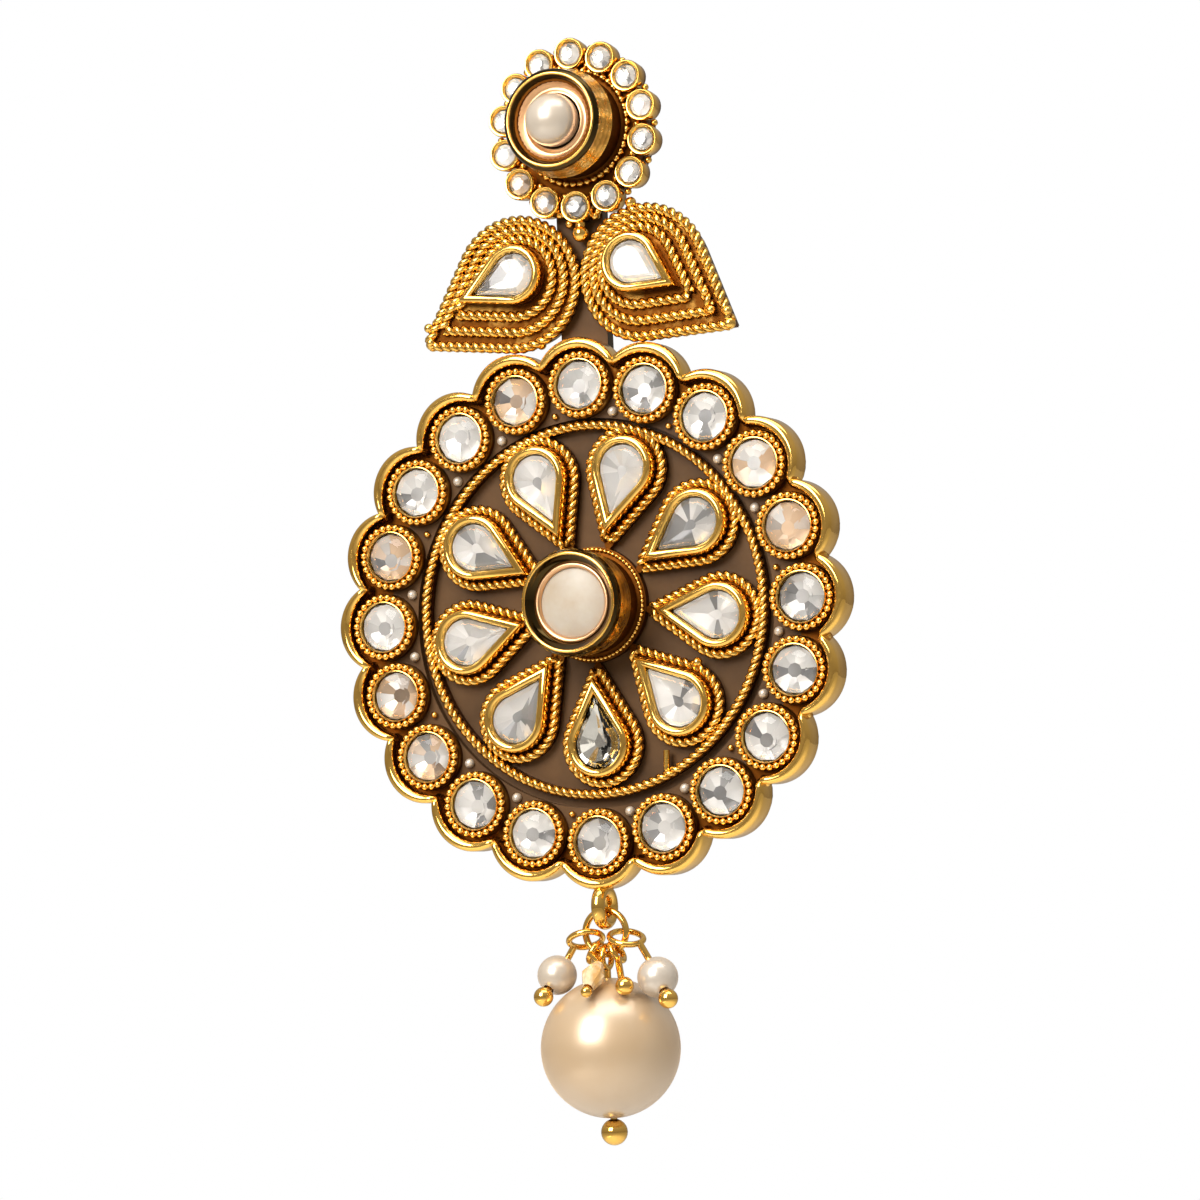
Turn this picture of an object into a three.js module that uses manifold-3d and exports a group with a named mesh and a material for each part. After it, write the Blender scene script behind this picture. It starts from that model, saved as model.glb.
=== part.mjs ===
// Hair braid ornament: a scalloped disc of set stones under a pair of wire leaves and a small flower,
// with a pearl drop on a jump ring and a wire hair pin behind.
// Face frame, millimetres: x right, y up, z out of the face, zero at the disc's centre on the plate's front.
import * as THREE from 'three';
import { mergeVertices } from 'three/addons/utils/BufferGeometryUtils.js';
import Module from 'manifold-3d';

const wasm = await Module();
wasm.setup();

// Driving dimensions
const SEAT_GAP = 0.2;
const SINK = 0.1;
const EASE = 0.35;
const HOLE_EDGE = 0.05;
const PLATE = { thick: 1.2, inset: 0.45, neckHalf: 2.2, neckLow: 20, flowerRadius: 6.6 };

const RIM = {
  stones: 20, stoneRing: 19.75, lipRing: 19.95, lipRadius: 3.9, lipWidth: 0.85, lipEase: 0.22,
  lipTop: 2.4, floorTop: 0.7, innerRadius: 16.85,
  bezelInner: 2.35, bezelOuter: 2.95, bezelFoot: 0.5, bezelTop: 2.1, bezelShoulder: 1.8,
};
const ROUND_STONE = { radius: 2.1, table: 1.3, seat: 0.9, girdle: 1.6, top: 2.35 };

// The rosette and the rope ring round it sit a little above the disc's centre.
const ROSETTE_Y = 0.7;
const ROPE_RING = { y: 0.3, radius: 15.95, halfWidth: 0.4, top: 1.35, shoulder: 1.0 };
const PETAL = {
  count: 9, firstAngle: 112, ring: 12.1, radius: 2.7, reach: 5.5, wall: 0.5, bezelTop: 2.2,
  ropeOffset: 0.7, ropeRadius: 0.36, ropeTrim: 0.8, ropeLift: 0.15, floorGrow: 0.95, floorTop: 0.6,
};
const COLLET = {
  baseRadius: 5, baseTop: 0.9, neck: 4.2, neckLow: 1.2, neckTop: 2.4, wallLow: 2.7, wall: 4.6, wallTop: 5.3,
  ridge: 4.25, top: 6, opening: 3.35, floor: 4.1,
};
const CABOCHON = { radius: 3.15, edge: 0.4, crown: 2.3, shoulder: 0.85, dome: 1 };

const FLOWER = {
  x: 0.5, y: 41.85, cups: 14, cupRing: 6.7, cupRadius: 1.4, cupShoulder: 1.8, cupTop: 2,
  cupStone: 0.95, stoneTable: 0.55, stoneTop: 2.3, baseRadius: 6.6, baseTop: 0.8,
  colletY: 42.15, collar: 4.9, collarFoot: 1, collarTop: 1.4, neck: 4.3, neckLow: 1.6, neckTop: 3.6,
  wallLow: 3.9, skirt: 4.75, radius: 4.45, wallTop: 6, ridge: 4, top: 6.5,
  opening: 3.4, lipEdge: 3.65, floor: 3.5,
  joinY: 32.9, joinRadius: 0.75, joinWire: 0.45, joinEnd: 36.2,
};
const FLOWER_PEARL = { radius: 2.3, z: 6 };

// One row for each leaf: the outline's round end and tip, then the stone bezel's round end and tip.
const LEAVES = [
  {
    side: 'left', x: -5.75, y: 29, tipX: -15, tipY: 24.2,
    stoneX: -5.75, stoneY: 29.85, stoneTipX: -10.9, stoneTipY: 27.95,
  },
  {
    side: 'right', x: 6.4, y: 28.9, tipX: 14.7, tipY: 23.4,
    stoneX: 5.35, stoneY: 29.9, stoneTipX: 9.35, stoneTipY: 27.55,
  },
];
const LEAF = {
  radius: 5.85, stoneRadius: 2.5, wall: 0.5, bezelTop: 2.3, floorTop: 0.7, ropeRadius: 0.47, ropeTrim: 1.1,
  ropePlaces: [0.24, 0.56, 0.88], ropeLift: 0.3, floorInset: 0.15, grainRadius: 0.55, grainInset: 0.08,
  rimClear: 0.25, rimRoomTop: 4,
};
const DROP_STONE = { clear: 0.15, bevel: 0.55, girdle: 0.5, lift: 0.15 };

const LOOP = { y: -25.3, z: 1, radius: 1.4, wire: 0.6 };
const JUMP_RING = { y: -27.5, radius: 1.9, wire: 0.29 };
const EYE_WIRE = 0.27;
const STEM_WIRE = 0.3;
const DROP_PIN = { ringAngle: -90, lean: 0, turn: 90, eye: 0.95, play: 0.15, ball: 1.15, end: -44.57 };
const MAIN_PEARL = { y: -37.4, radius: 6, hole: 0.5 };
const BEAD_HOLE = 0.42;

// One row for each small dangle on the jump ring: the place on the ring, the lean and turn of its eye
// there, in degrees, the eye's radius and play, the bead's centre, the way its pin points, and the bead
// and end ball.
const DANGLES = [
  {
    name: 'left', ringAngle: -164, lean: 0, turn: 112, eye: 1.45, play: 0.8,
    x: -4.3, y: -31, z: 2, pinX: -0.225, pinY: -0.7, pinZ: 0.68, bead: 'pearl', radius: 1.7, ball: 0.85,
  },
  {
    name: 'right', ringAngle: -16, lean: 0, turn: 108, eye: 1.45, play: 0.8,
    x: 5.2, y: -31.5, z: 2.2, pinX: 0.54, pinY: -0.7, pinZ: 0.47, bead: 'pearl', radius: 1.75, ball: 0.85,
  },
  {
    name: 'front', ringAngle: -121, lean: 60, turn: 90, eye: 0.9, play: 0.2,
    x: 0.2, y: -31.2, z: 4.45, pinX: 0, pinY: -0.62, pinZ: 0.78, bead: 'kite', radius: 1.05, ball: 0.5,
  },
  {
    name: 'ball', ringAngle: -59, lean: 50, turn: 90, eye: 0.9, play: 0.2,
    x: 3, y: -32.1, z: 4.3, pinX: 0.5, pinY: -0.6, pinZ: 0.6, bead: 'none', radius: 0, ball: 0.8,
  },
];
const KITE_HALF_HEIGHT = 1.5;
const NECK = 0.35;

const PIN = {
  seatY: 14, seatGap: 0.35, wire: 0.6, spread: 5, crown: 1.5, stand: 7, foot: -20, bend: 3, rise: 1,
};

const FINISHES = {
  gold: { color: 0xc8932f, roughness: 0.28, metalness: 1 },
  lacquer: { color: 0x6b5846, roughness: 0.55, metalness: 0.2 },
  crystal: { color: 0xe6e2dc, roughness: 0.06, metalness: 0 },
  cabochon: { color: 0xe9cfa6, roughness: 0.2, metalness: 0 },
  pearl: { color: 0xf0dfc2, roughness: 0.22, metalness: 0 },
  kite: { color: 0xe3c184, roughness: 0.1, metalness: 0 },
};

// Facet counts and the distance within which corners are one
const MERGE_WITHIN = 1e-4;
const ARC_STEPS = 8;
const ROPE_STEPS = 10;
const SCALLOP_STEPS = 4;
const WIRE_SIDES = 5;
const PIN_SIDES = 6;
const PIN_STEPS = 28;
const LINK_STEPS = 12;
const RING_SIDES = 32;
const COLLET_SIDES = 18;
const BEAD_SIDES = 10;
const BALL_STEPS = 5;
const STONE_SIDES = 8;
const PEARL_SIDES = 14;
const PEARL_STEPS = 9;
const SMALL_PEARL_STEPS = 6;

const radians = THREE.MathUtils.degToRad;
const polar = (radius, angle) => new THREE.Vector2(radius * Math.cos(angle), radius * Math.sin(angle));

// Solids

function solid(geometry) {
  const bare = geometry.clone();
  bare.deleteAttribute('normal');
  bare.deleteAttribute('uv');
  const merged = mergeVertices(bare, MERGE_WITHIN);
  const corners = merged.index.array;
  const kept = [];
  for (let i = 0; i < corners.length; i += 3) {
    const [a, b, c] = corners.slice(i, i + 3);
    if (a !== b && b !== c && c !== a) {
      kept.push(a, b, c);
    }
  }
  return new wasm.Manifold(new wasm.Mesh({
    numProp: 3,
    vertProperties: new Float32Array(merged.attributes.position.array),
    triVerts: new Uint32Array(kept),
  }));
}

function joined(pieces) {
  return pieces.reduce((body, piece) => body.add(piece));
}

function geometryOf(body) {
  const mesh = body.getMesh();
  const geometry = new THREE.BufferGeometry();
  geometry.setAttribute('position', new THREE.BufferAttribute(mesh.vertProperties, 3));
  geometry.setIndex(new THREE.BufferAttribute(mesh.triVerts, 1));
  geometry.computeVertexNormals();
  return geometry;
}

// A profile of [radius, height] rows turned about the z axis.
function turned(profile, sides) {
  const points = profile.map(([radius, height]) => new THREE.Vector2(radius, height));
  return new THREE.LatheGeometry(points, sides).rotateX(Math.PI / 2);
}

function slab(shape, low, high) {
  return new THREE.ExtrudeGeometry(shape, { depth: high - low, bevelEnabled: false }).translate(0, 0, low);
}

function roundSection(radius, sides) {
  const corners = Array.from({ length: sides }, (_, i) => polar(radius, (2 * Math.PI * i) / sides));
  return new THREE.Shape(corners);
}

function rod(from, to, radius) {
  const line = new THREE.LineCurve3(from, to);
  return new THREE.ExtrudeGeometry(roundSection(radius, WIRE_SIDES), { steps: 1, extrudePath: line });
}

function ball(centre, radius) {
  return new THREE.SphereGeometry(radius, BEAD_SIDES, BALL_STEPS).translate(centre.x, centre.y, centre.z);
}

// Drop outlines: a round end about (x, y), closed by two straight sides that meet at the tip.

function dropFrame(drop) {
  const length = Math.hypot(drop.tipX - drop.x, drop.tipY - drop.y);
  const heading = Math.atan2(drop.tipY - drop.y, drop.tipX - drop.x);
  return { length, heading, half: Math.acos(drop.radius / length) };
}

function grown(drop, amount) {
  const { length, heading } = dropFrame(drop);
  const radius = drop.radius + amount;
  const reach = (length * radius) / drop.radius;
  const tip = polar(reach, heading);
  return { x: drop.x, y: drop.y, radius, tipX: drop.x + tip.x, tipY: drop.y + tip.y };
}

function dropShape(drop) {
  const { heading, half } = dropFrame(drop);
  const points = [new THREE.Vector2(drop.tipX, drop.tipY)];
  for (let i = 0; i <= ARC_STEPS; i += 1) {
    const angle = heading + half + ((2 * Math.PI - 2 * half) * i) / ARC_STEPS;
    points.push(polar(drop.radius, angle).add(new THREE.Vector2(drop.x, drop.y)));
  }
  return new THREE.Shape(points);
}

class DropCurve extends THREE.Curve {
  constructor(drop, trim, height) {
    super();
    this.drop = drop;
    this.trim = trim;
    this.height = height;
  }

  getPoint(t, target = new THREE.Vector3()) {
    const { x, y, radius, tipX, tipY } = this.drop;
    const { length, heading, half } = dropFrame(this.drop);
    const side = Math.sqrt(length ** 2 - radius ** 2);
    const straight = side - this.trim;
    const arc = radius * (2 * Math.PI - 2 * half);
    const along = t * (2 * straight + arc);
    const onArc = THREE.MathUtils.clamp(along - straight, 0, arc);
    const corner = polar(radius, heading + half + onArc / radius).add(new THREE.Vector2(x, y));
    const past = Math.max(straight - along, along - straight - arc, 0);
    const point = corner.lerp(new THREE.Vector2(tipX, tipY), past / side);
    return target.set(point.x, point.y, this.height);
  }
}

function dropRope(drop, trim, ropeRadius, low) {
  const extrudePath = new DropCurve(drop, trim, low + ropeRadius);
  const section = roundSection(ropeRadius, WIRE_SIDES);
  return new THREE.ExtrudeGeometry(section, { steps: ROPE_STEPS, extrudePath });
}

function dropBezel(drop, wall, low, high) {
  const shape = dropShape(drop);
  shape.holes.push(dropShape(grown(drop, -wall)));
  return slab(shape, low, high);
}

// A flat-backed cut stone of drop outline with a table and a bevelled crown.
function dropStone(drop, low) {
  const girdle = grown(drop, -DROP_STONE.bevel);
  const stone = new THREE.ExtrudeGeometry(dropShape(girdle), {
    depth: DROP_STONE.girdle,
    bevelEnabled: true,
    bevelSize: DROP_STONE.bevel,
    bevelThickness: DROP_STONE.bevel,
    bevelSegments: 1,
  });
  return stone.translate(0, 0, low + DROP_STONE.bevel);
}

// The disc's scalloped outline, each scallop an arc that ends where its neighbour begins.

function scallopShape(grow) {
  const pitch = (2 * Math.PI) / RIM.stones;
  const radius = RIM.lipRadius + grow;
  const across = RIM.lipRing * Math.sin(pitch / 2);
  const meet = RIM.lipRing * Math.cos(pitch / 2) + Math.sqrt(radius ** 2 - across ** 2);
  const corner = polar(meet, pitch / 2);
  const half = Math.atan2(corner.y, corner.x - RIM.lipRing);
  const points = [];
  for (let k = 0; k < RIM.stones; k += 1) {
    const heading = Math.PI / 2 + k * pitch;
    const centre = polar(RIM.lipRing, heading);
    for (let i = 0; i < SCALLOP_STEPS; i += 1) {
      points.push(polar(radius, heading - half + (2 * half * i) / SCALLOP_STEPS).add(centre));
    }
  }
  return new THREE.Shape(points);
}

// Places a geometry made at the disc's +y side round the disc, at the k-th stone.
function roundDisc(geometry, k) {
  return geometry.clone().rotateZ((2 * Math.PI * k) / RIM.stones);
}

// The polished lip that runs round every scallop, its top edges eased.
function scallopLip() {
  const shape = scallopShape(-RIM.lipEase);
  shape.holes.push(scallopShape(RIM.lipEase - RIM.lipWidth));
  const lip = new THREE.ExtrudeGeometry(shape, {
    depth: RIM.lipTop - SEAT_GAP - 2 * RIM.lipEase,
    bevelEnabled: true,
    bevelSize: RIM.lipEase,
    bevelThickness: RIM.lipEase,
    bevelSegments: 1,
  });
  return lip.translate(0, 0, SEAT_GAP + RIM.lipEase);
}

function scallopRim() {
  const floorShape = scallopShape(-RIM.lipWidth / 2);
  floorShape.holes.push(new THREE.Path(roundSection(RIM.innerRadius, RING_SIDES).getPoints()));
  const bezel = turned([
    [RIM.bezelInner, RIM.bezelFoot],
    [RIM.bezelOuter, RIM.bezelFoot],
    [RIM.bezelOuter, RIM.bezelShoulder],
    [RIM.bezelInner, RIM.bezelTop],
    [RIM.bezelInner, RIM.bezelFoot],
  ], BEAD_SIDES).translate(0, RIM.stoneRing, 0);
  const loop = new THREE.TorusGeometry(LOOP.radius, LOOP.wire, WIRE_SIDES, LINK_STEPS)
    .rotateY(Math.PI / 2).translate(0, LOOP.y, LOOP.z);
  const floor = slab(floorShape, SEAT_GAP, RIM.floorTop);
  const pieces = [solid(scallopLip()), solid(floor), solid(loop)];
  for (let k = 0; k < RIM.stones; k += 1) {
    pieces.push(solid(roundDisc(bezel, k)));
  }
  return geometryOf(joined(pieces));
}

function roundStone(k) {
  const stone = turned([
    [0, ROUND_STONE.seat],
    [ROUND_STONE.radius, ROUND_STONE.seat],
    [ROUND_STONE.radius, ROUND_STONE.girdle],
    [ROUND_STONE.table, ROUND_STONE.top],
    [0, ROUND_STONE.top],
  ], STONE_SIDES).translate(0, RIM.stoneRing, 0);
  return geometryOf(solid(roundDisc(stone, k)));
}

// Rosette

function petalDrop(k) {
  const angle = radians(PETAL.firstAngle - (360 * k) / PETAL.count);
  const middle = new THREE.Vector2(0, ROSETTE_Y);
  const centre = polar(PETAL.ring, angle).add(middle);
  const tip = polar(PETAL.ring - PETAL.reach, angle).add(middle);
  return { x: centre.x, y: centre.y, radius: PETAL.radius, tipX: tip.x, tipY: tip.y };
}

function ropeRing() {
  return turned([
    [ROPE_RING.radius - ROPE_RING.halfWidth, SEAT_GAP],
    [ROPE_RING.radius + ROPE_RING.halfWidth, SEAT_GAP],
    [ROPE_RING.radius + ROPE_RING.halfWidth, ROPE_RING.shoulder],
    [ROPE_RING.radius, ROPE_RING.top],
    [ROPE_RING.radius - ROPE_RING.halfWidth, ROPE_RING.shoulder],
    [ROPE_RING.radius - ROPE_RING.halfWidth, SEAT_GAP],
  ], RING_SIDES).translate(0, ROPE_RING.y, 0);
}

function petalRosette() {
  const collet = turned([
    [0, SEAT_GAP],
    [COLLET.baseRadius, SEAT_GAP],
    [COLLET.baseRadius, COLLET.baseTop],
    [COLLET.neck, COLLET.neckLow],
    [COLLET.neck, COLLET.neckTop],
    [COLLET.wall, COLLET.wallLow],
    [COLLET.wall, COLLET.wallTop],
    [COLLET.ridge, COLLET.top],
    [COLLET.opening + EASE, COLLET.top],
    [COLLET.opening, COLLET.top - EASE],
    [COLLET.opening, COLLET.floor],
    [0, COLLET.floor],
  ], COLLET_SIDES).translate(0, ROSETTE_Y, 0);
  const pieces = [solid(collet), solid(ropeRing())];
  for (let k = 0; k < PETAL.count; k += 1) {
    const drop = petalDrop(k);
    const around = grown(drop, PETAL.ropeOffset);
    pieces.push(
      solid(slab(dropShape(grown(drop, PETAL.floorGrow)), SEAT_GAP, PETAL.floorTop)),
      solid(dropBezel(drop, PETAL.wall, SEAT_GAP + SINK, PETAL.bezelTop)),
      solid(dropRope(around, PETAL.ropeTrim, PETAL.ropeRadius, SEAT_GAP + PETAL.ropeLift)),
    );
  }
  return geometryOf(joined(pieces));
}

function petalStone(k) {
  const drop = grown(petalDrop(k), -PETAL.wall - DROP_STONE.clear);
  return geometryOf(solid(dropStone(drop, PETAL.floorTop + DROP_STONE.lift)));
}

function centreCabochon() {
  const low = COLLET.floor + SEAT_GAP;
  return geometryOf(solid(turned([
    [0, low],
    [CABOCHON.radius, low],
    [CABOCHON.radius, low + CABOCHON.edge],
    [CABOCHON.crown, low + CABOCHON.shoulder],
    [0, low + CABOCHON.dome],
  ], COLLET_SIDES).translate(0, ROSETTE_Y, 0)));
}

// Top flower

function topFlower() {
  const collet = turned([
    [0, SEAT_GAP],
    [FLOWER.baseRadius, SEAT_GAP],
    [FLOWER.baseRadius, FLOWER.baseTop],
    [FLOWER.collar, FLOWER.collarFoot],
    [FLOWER.collar, FLOWER.collarTop],
    [FLOWER.neck, FLOWER.neckLow],
    [FLOWER.neck, FLOWER.neckTop],
    [FLOWER.skirt, FLOWER.wallLow],
    [FLOWER.radius, FLOWER.wallTop],
    [FLOWER.ridge, FLOWER.top],
    [FLOWER.lipEdge, FLOWER.top],
    [FLOWER.opening, FLOWER.top - EASE],
    [FLOWER.opening, FLOWER.floor],
    [0, FLOWER.floor],
  ], COLLET_SIDES).translate(0, FLOWER.colletY - FLOWER.y, 0);
  const cup = turned([
    [0, SEAT_GAP + SINK],
    [FLOWER.cupRadius, SEAT_GAP + SINK],
    [FLOWER.cupRadius, FLOWER.cupShoulder],
    [FLOWER.cupStone, FLOWER.cupTop],
    [FLOWER.stoneTable, FLOWER.stoneTop],
    [0, FLOWER.stoneTop],
  ], STONE_SIDES).translate(0, FLOWER.cupRing, 0);
  const pieces = [solid(collet)];
  for (let k = 0; k < FLOWER.cups; k += 1) {
    pieces.push(solid(cup.clone().rotateZ((2 * Math.PI * k) / FLOWER.cups)));
  }
  const joinPlace = new THREE.Vector3(0, FLOWER.joinY - FLOWER.y, SEAT_GAP + FLOWER.joinRadius);
  pieces.push(solid(ball(joinPlace, FLOWER.joinRadius)));
  const joinEnd = new THREE.Vector3(0, FLOWER.joinEnd - FLOWER.y, joinPlace.z);
  pieces.push(solid(rod(joinPlace, joinEnd, FLOWER.joinWire)));
  return geometryOf(joined(pieces)).translate(FLOWER.x, FLOWER.y, 0);
}

function flowerPearl() {
  const pearl = new THREE.SphereGeometry(FLOWER_PEARL.radius, PEARL_SIDES, PEARL_STEPS);
  return pearl.translate(FLOWER.x, FLOWER.colletY, FLOWER_PEARL.z);
}

// Leaves

function leafDrop(row, place) {
  const mix = (from, to) => THREE.MathUtils.lerp(from, to, place);
  return {
    x: mix(row.stoneX, row.x),
    y: mix(row.stoneY, row.y),
    radius: mix(LEAF.stoneRadius, LEAF.radius),
    tipX: mix(row.stoneTipX, row.tipX),
    tipY: mix(row.stoneTipY, row.tipY),
  };
}

function leaf(row) {
  const outline = leafDrop(row, 1);
  const pieces = [
    solid(slab(dropShape(grown(outline, -LEAF.floorInset)), SEAT_GAP, LEAF.floorTop)),
    solid(dropBezel(leafDrop(row, 0), LEAF.wall, SEAT_GAP + SINK, LEAF.bezelTop)),
  ];
  for (const place of LEAF.ropePlaces) {
    const rope = dropRope(leafDrop(row, place), LEAF.ropeTrim, LEAF.ropeRadius, SEAT_GAP + LEAF.ropeLift);
    pieces.push(solid(rope));
  }
  const tip = new THREE.Vector2(outline.tipX, outline.tipY);
  tip.lerp(new THREE.Vector2(outline.x, outline.y), LEAF.grainInset);
  const grain = new THREE.Vector3(tip.x, tip.y, LEAF.floorTop + LEAF.grainRadius / 2);
  pieces.push(solid(ball(grain, LEAF.grainRadius)));
  const rimRoom = solid(slab(scallopShape(LEAF.rimClear), 0, LEAF.rimRoomTop));
  return geometryOf(joined(pieces).subtract(rimRoom));
}

function leafStone(row) {
  const drop = grown(leafDrop(row, 0), -LEAF.wall - DROP_STONE.clear);
  return geometryOf(solid(dropStone(drop, LEAF.floorTop + DROP_STONE.lift)));
}

// Back

function backPlate() {
  const neck = new THREE.Shape([
    new THREE.Vector2(-PLATE.neckHalf, PLATE.neckLow),
    new THREE.Vector2(PLATE.neckHalf, PLATE.neckLow),
    new THREE.Vector2(PLATE.neckHalf, FLOWER.y),
    new THREE.Vector2(-PLATE.neckHalf, FLOWER.y),
  ]);
  const flower = new THREE.CylinderGeometry(PLATE.flowerRadius, PLATE.flowerRadius, PLATE.thick, COLLET_SIDES)
    .rotateX(Math.PI / 2).translate(FLOWER.x, FLOWER.y, -PLATE.thick / 2);
  const outlines = [scallopShape(-PLATE.inset), neck];
  for (const row of LEAVES) {
    outlines.push(dropShape(grown(leafDrop(row, 1), -PLATE.inset)));
  }
  const pieces = outlines.map((outline) => solid(slab(outline, -PLATE.thick, 0)));
  pieces.push(solid(flower));
  return geometryOf(joined(pieces));
}

// A bent wire: its crown lies across the plate's back and its two prongs run down behind the disc.
function hairPin() {
  const near = -PLATE.thick - PIN.seatGap - PIN.wire;
  const far = near - PIN.stand + PIN.wire;
  const half = [
    [PIN.spread, PIN.foot, far],
    [PIN.spread, 0, far],
    [PIN.spread, PIN.seatY - PIN.bend, far],
    [PIN.spread, PIN.seatY + PIN.rise, (near + far) / 2],
    [PIN.spread - PIN.rise, PIN.seatY, near],
    [PIN.crown, PIN.seatY, near],
  ];
  const rightHalf = half.map(([x, y, z]) => new THREE.Vector3(x, y, z));
  const leftHalf = half.map(([x, y, z]) => new THREE.Vector3(-x, y, z)).reverse();
  const extrudePath = new THREE.CatmullRomCurve3([...rightHalf, ...leftHalf], false, 'centripetal');
  return new THREE.ExtrudeGeometry(roundSection(PIN.wire, PIN_SIDES), { steps: PIN_STEPS, extrudePath });
}

// Drop

function jumpRing() {
  return new THREE.TorusGeometry(JUMP_RING.radius, JUMP_RING.wire, WIRE_SIDES, LINK_STEPS)
    .translate(0, JUMP_RING.y, LOOP.z);
}

// An eye whose wire circles the jump ring's wire. Its centre hangs from that wire along the lean, and the
// turn swings it from the ring's own plane, at 0 degrees, to square across the wire, at 90. The foot is the
// place on the eye that faces the target.
function eyeOnRing({ ringAngle, lean, turn, eye, play }, target) {
  const outward = new THREE.Vector3(Math.cos(radians(ringAngle)), Math.sin(radians(ringAngle)), 0);
  const along = new THREE.Vector3(-outward.y, outward.x, 0);
  const hang = outward.clone().multiplyScalar(Math.cos(radians(lean)));
  hang.z = Math.sin(radians(lean));
  const across = along.clone().multiplyScalar(Math.cos(radians(turn)));
  across.addScaledVector(new THREE.Vector3().crossVectors(hang, along), Math.sin(radians(turn)));
  const centre = new THREE.Vector3(0, JUMP_RING.y, LOOP.z).addScaledVector(outward, JUMP_RING.radius);
  centre.addScaledVector(hang, eye - EYE_WIRE - JUMP_RING.wire - play);
  const normal = new THREE.Vector3().crossVectors(hang, across);
  const ring = new THREE.TorusGeometry(eye, EYE_WIRE, WIRE_SIDES, LINK_STEPS);
  ring.applyMatrix4(new THREE.Matrix4().makeBasis(hang, across, normal));
  ring.translate(centre.x, centre.y, centre.z);
  const foot = target.clone().sub(centre).projectOnPlane(normal).setLength(eye).add(centre);
  return { ring, foot };
}

function wirePin(ring, places, endRadius) {
  const pieces = [solid(ring)];
  for (let i = 1; i < places.length; i += 1) {
    pieces.push(solid(rod(places[i - 1], places[i], STEM_WIRE)));
  }
  pieces.push(solid(ball(places[places.length - 1], endRadius)));
  return geometryOf(joined(pieces));
}

function dropPin() {
  const end = new THREE.Vector3(0, DROP_PIN.end, LOOP.z);
  const { ring, foot } = eyeOnRing(DROP_PIN, end);
  return wirePin(ring, [foot, end], DROP_PIN.ball);
}

// A drilled bead about the z axis: rows of [radius, height] run up the outside and back down the hole.
function drilledBead(outer, hole, sides) {
  const low = outer[0][1];
  const high = outer[outer.length - 1][1];
  return turned([[hole, low], ...outer, [hole, high], [hole, low]], sides);
}

function pearlGeometry(radius, hole, sides, steps) {
  const start = Math.asin((hole + HOLE_EDGE) / radius);
  const rows = [];
  for (let i = 0; i <= steps; i += 1) {
    const angle = start + ((Math.PI - 2 * start) * i) / steps;
    rows.push([radius * Math.sin(angle), -radius * Math.cos(angle)]);
  }
  return drilledBead(rows, hole, sides);
}

function mainPearl() {
  return pearlGeometry(MAIN_PEARL.radius, MAIN_PEARL.hole, PEARL_SIDES, PEARL_STEPS)
    .rotateX(Math.PI / 2).translate(0, MAIN_PEARL.y, LOOP.z);
}

function dangle(row) {
  const bead = new THREE.Vector3(row.x, row.y, row.z);
  const heading = new THREE.Vector3(row.pinX, row.pinY, row.pinZ).normalize();
  const half = { pearl: row.radius, kite: KITE_HALF_HEIGHT, none: row.ball }[row.bead];
  const neck = bead.clone().addScaledVector(heading, -half - NECK);
  const end = row.bead === 'none' ? bead : bead.clone().addScaledVector(heading, half + row.ball);
  const { ring, foot } = eyeOnRing(row, neck);
  const turn = new THREE.Quaternion().setFromUnitVectors(new THREE.Vector3(0, 0, 1), heading);
  return { pin: wirePin(ring, [foot, neck, end], row.ball), bead, turn };
}

function dangleBead(row) {
  if (row.bead === 'kite') {
    return drilledBead([
      [BEAD_HOLE + HOLE_EDGE, -KITE_HALF_HEIGHT],
      [row.radius, 0],
      [BEAD_HOLE + HOLE_EDGE, KITE_HALF_HEIGHT],
    ], BEAD_HOLE, BEAD_SIDES);
  }
  return pearlGeometry(row.radius, BEAD_HOLE, BEAD_SIDES, SMALL_PEARL_STEPS);
}

// Assembly: the face stands upright, looking along -Y, with the origin where the pin's crown meets the plate.
const ornament = new THREE.Group();
ornament.rotation.x = Math.PI / 2;
ornament.position.set(0, -PLATE.thick, -PIN.seatY);

function place(name, geometry, finish, position, turn) {
  const mesh = new THREE.Mesh(geometry, new THREE.MeshStandardMaterial(FINISHES[finish]));
  mesh.name = name;
  if (position) {
    mesh.position.copy(position);
    mesh.quaternion.copy(turn);
  }
  ornament.add(mesh);
}

place('back_plate', backPlate(), 'lacquer');
place('scallop_rim', scallopRim(), 'gold');
place('petal_rosette', petalRosette(), 'gold');
place('top_flower', topFlower(), 'gold');
place('hair_pin', hairPin(), 'gold');
place('centre_cabochon', centreCabochon(), 'cabochon');
place('flower_pearl', flowerPearl(), 'pearl');
for (let k = 0; k < RIM.stones; k += 1) {
  place(`round_stone_${String(k + 1).padStart(2, '0')}`, roundStone(k), 'crystal');
}
for (let k = 0; k < PETAL.count; k += 1) {
  place(`petal_stone_${k + 1}`, petalStone(k), 'crystal');
}
for (const row of LEAVES) {
  place(`leaf_${row.side}`, leaf(row), 'gold');
  place(`leaf_stone_${row.side}`, leafStone(row), 'crystal');
}
place('jump_ring', jumpRing(), 'gold');
place('drop_pin', dropPin(), 'gold');
place('main_pearl', mainPearl(), 'pearl');
for (const row of DANGLES) {
  const { pin, bead, turn } = dangle(row);
  place(`${row.name}_pin`, pin, 'gold');
  if (row.bead !== 'none') {
    place(row.bead === 'kite' ? 'front_bead' : `${row.name}_pearl`, dangleBead(row), row.bead, bead, turn);
  }
}

export default ornament;
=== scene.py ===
"""Hair braid ornament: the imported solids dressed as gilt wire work, cut stones and pearls."""

import random
from collections import namedtuple
from math import acos, asin, atan2, cos, hypot, pi, radians, sin, sqrt, tau

import bmesh
import bpy
from bpy.props import FloatProperty, FloatVectorProperty, IntProperty, PointerProperty
from mathutils import Matrix, Vector


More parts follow.
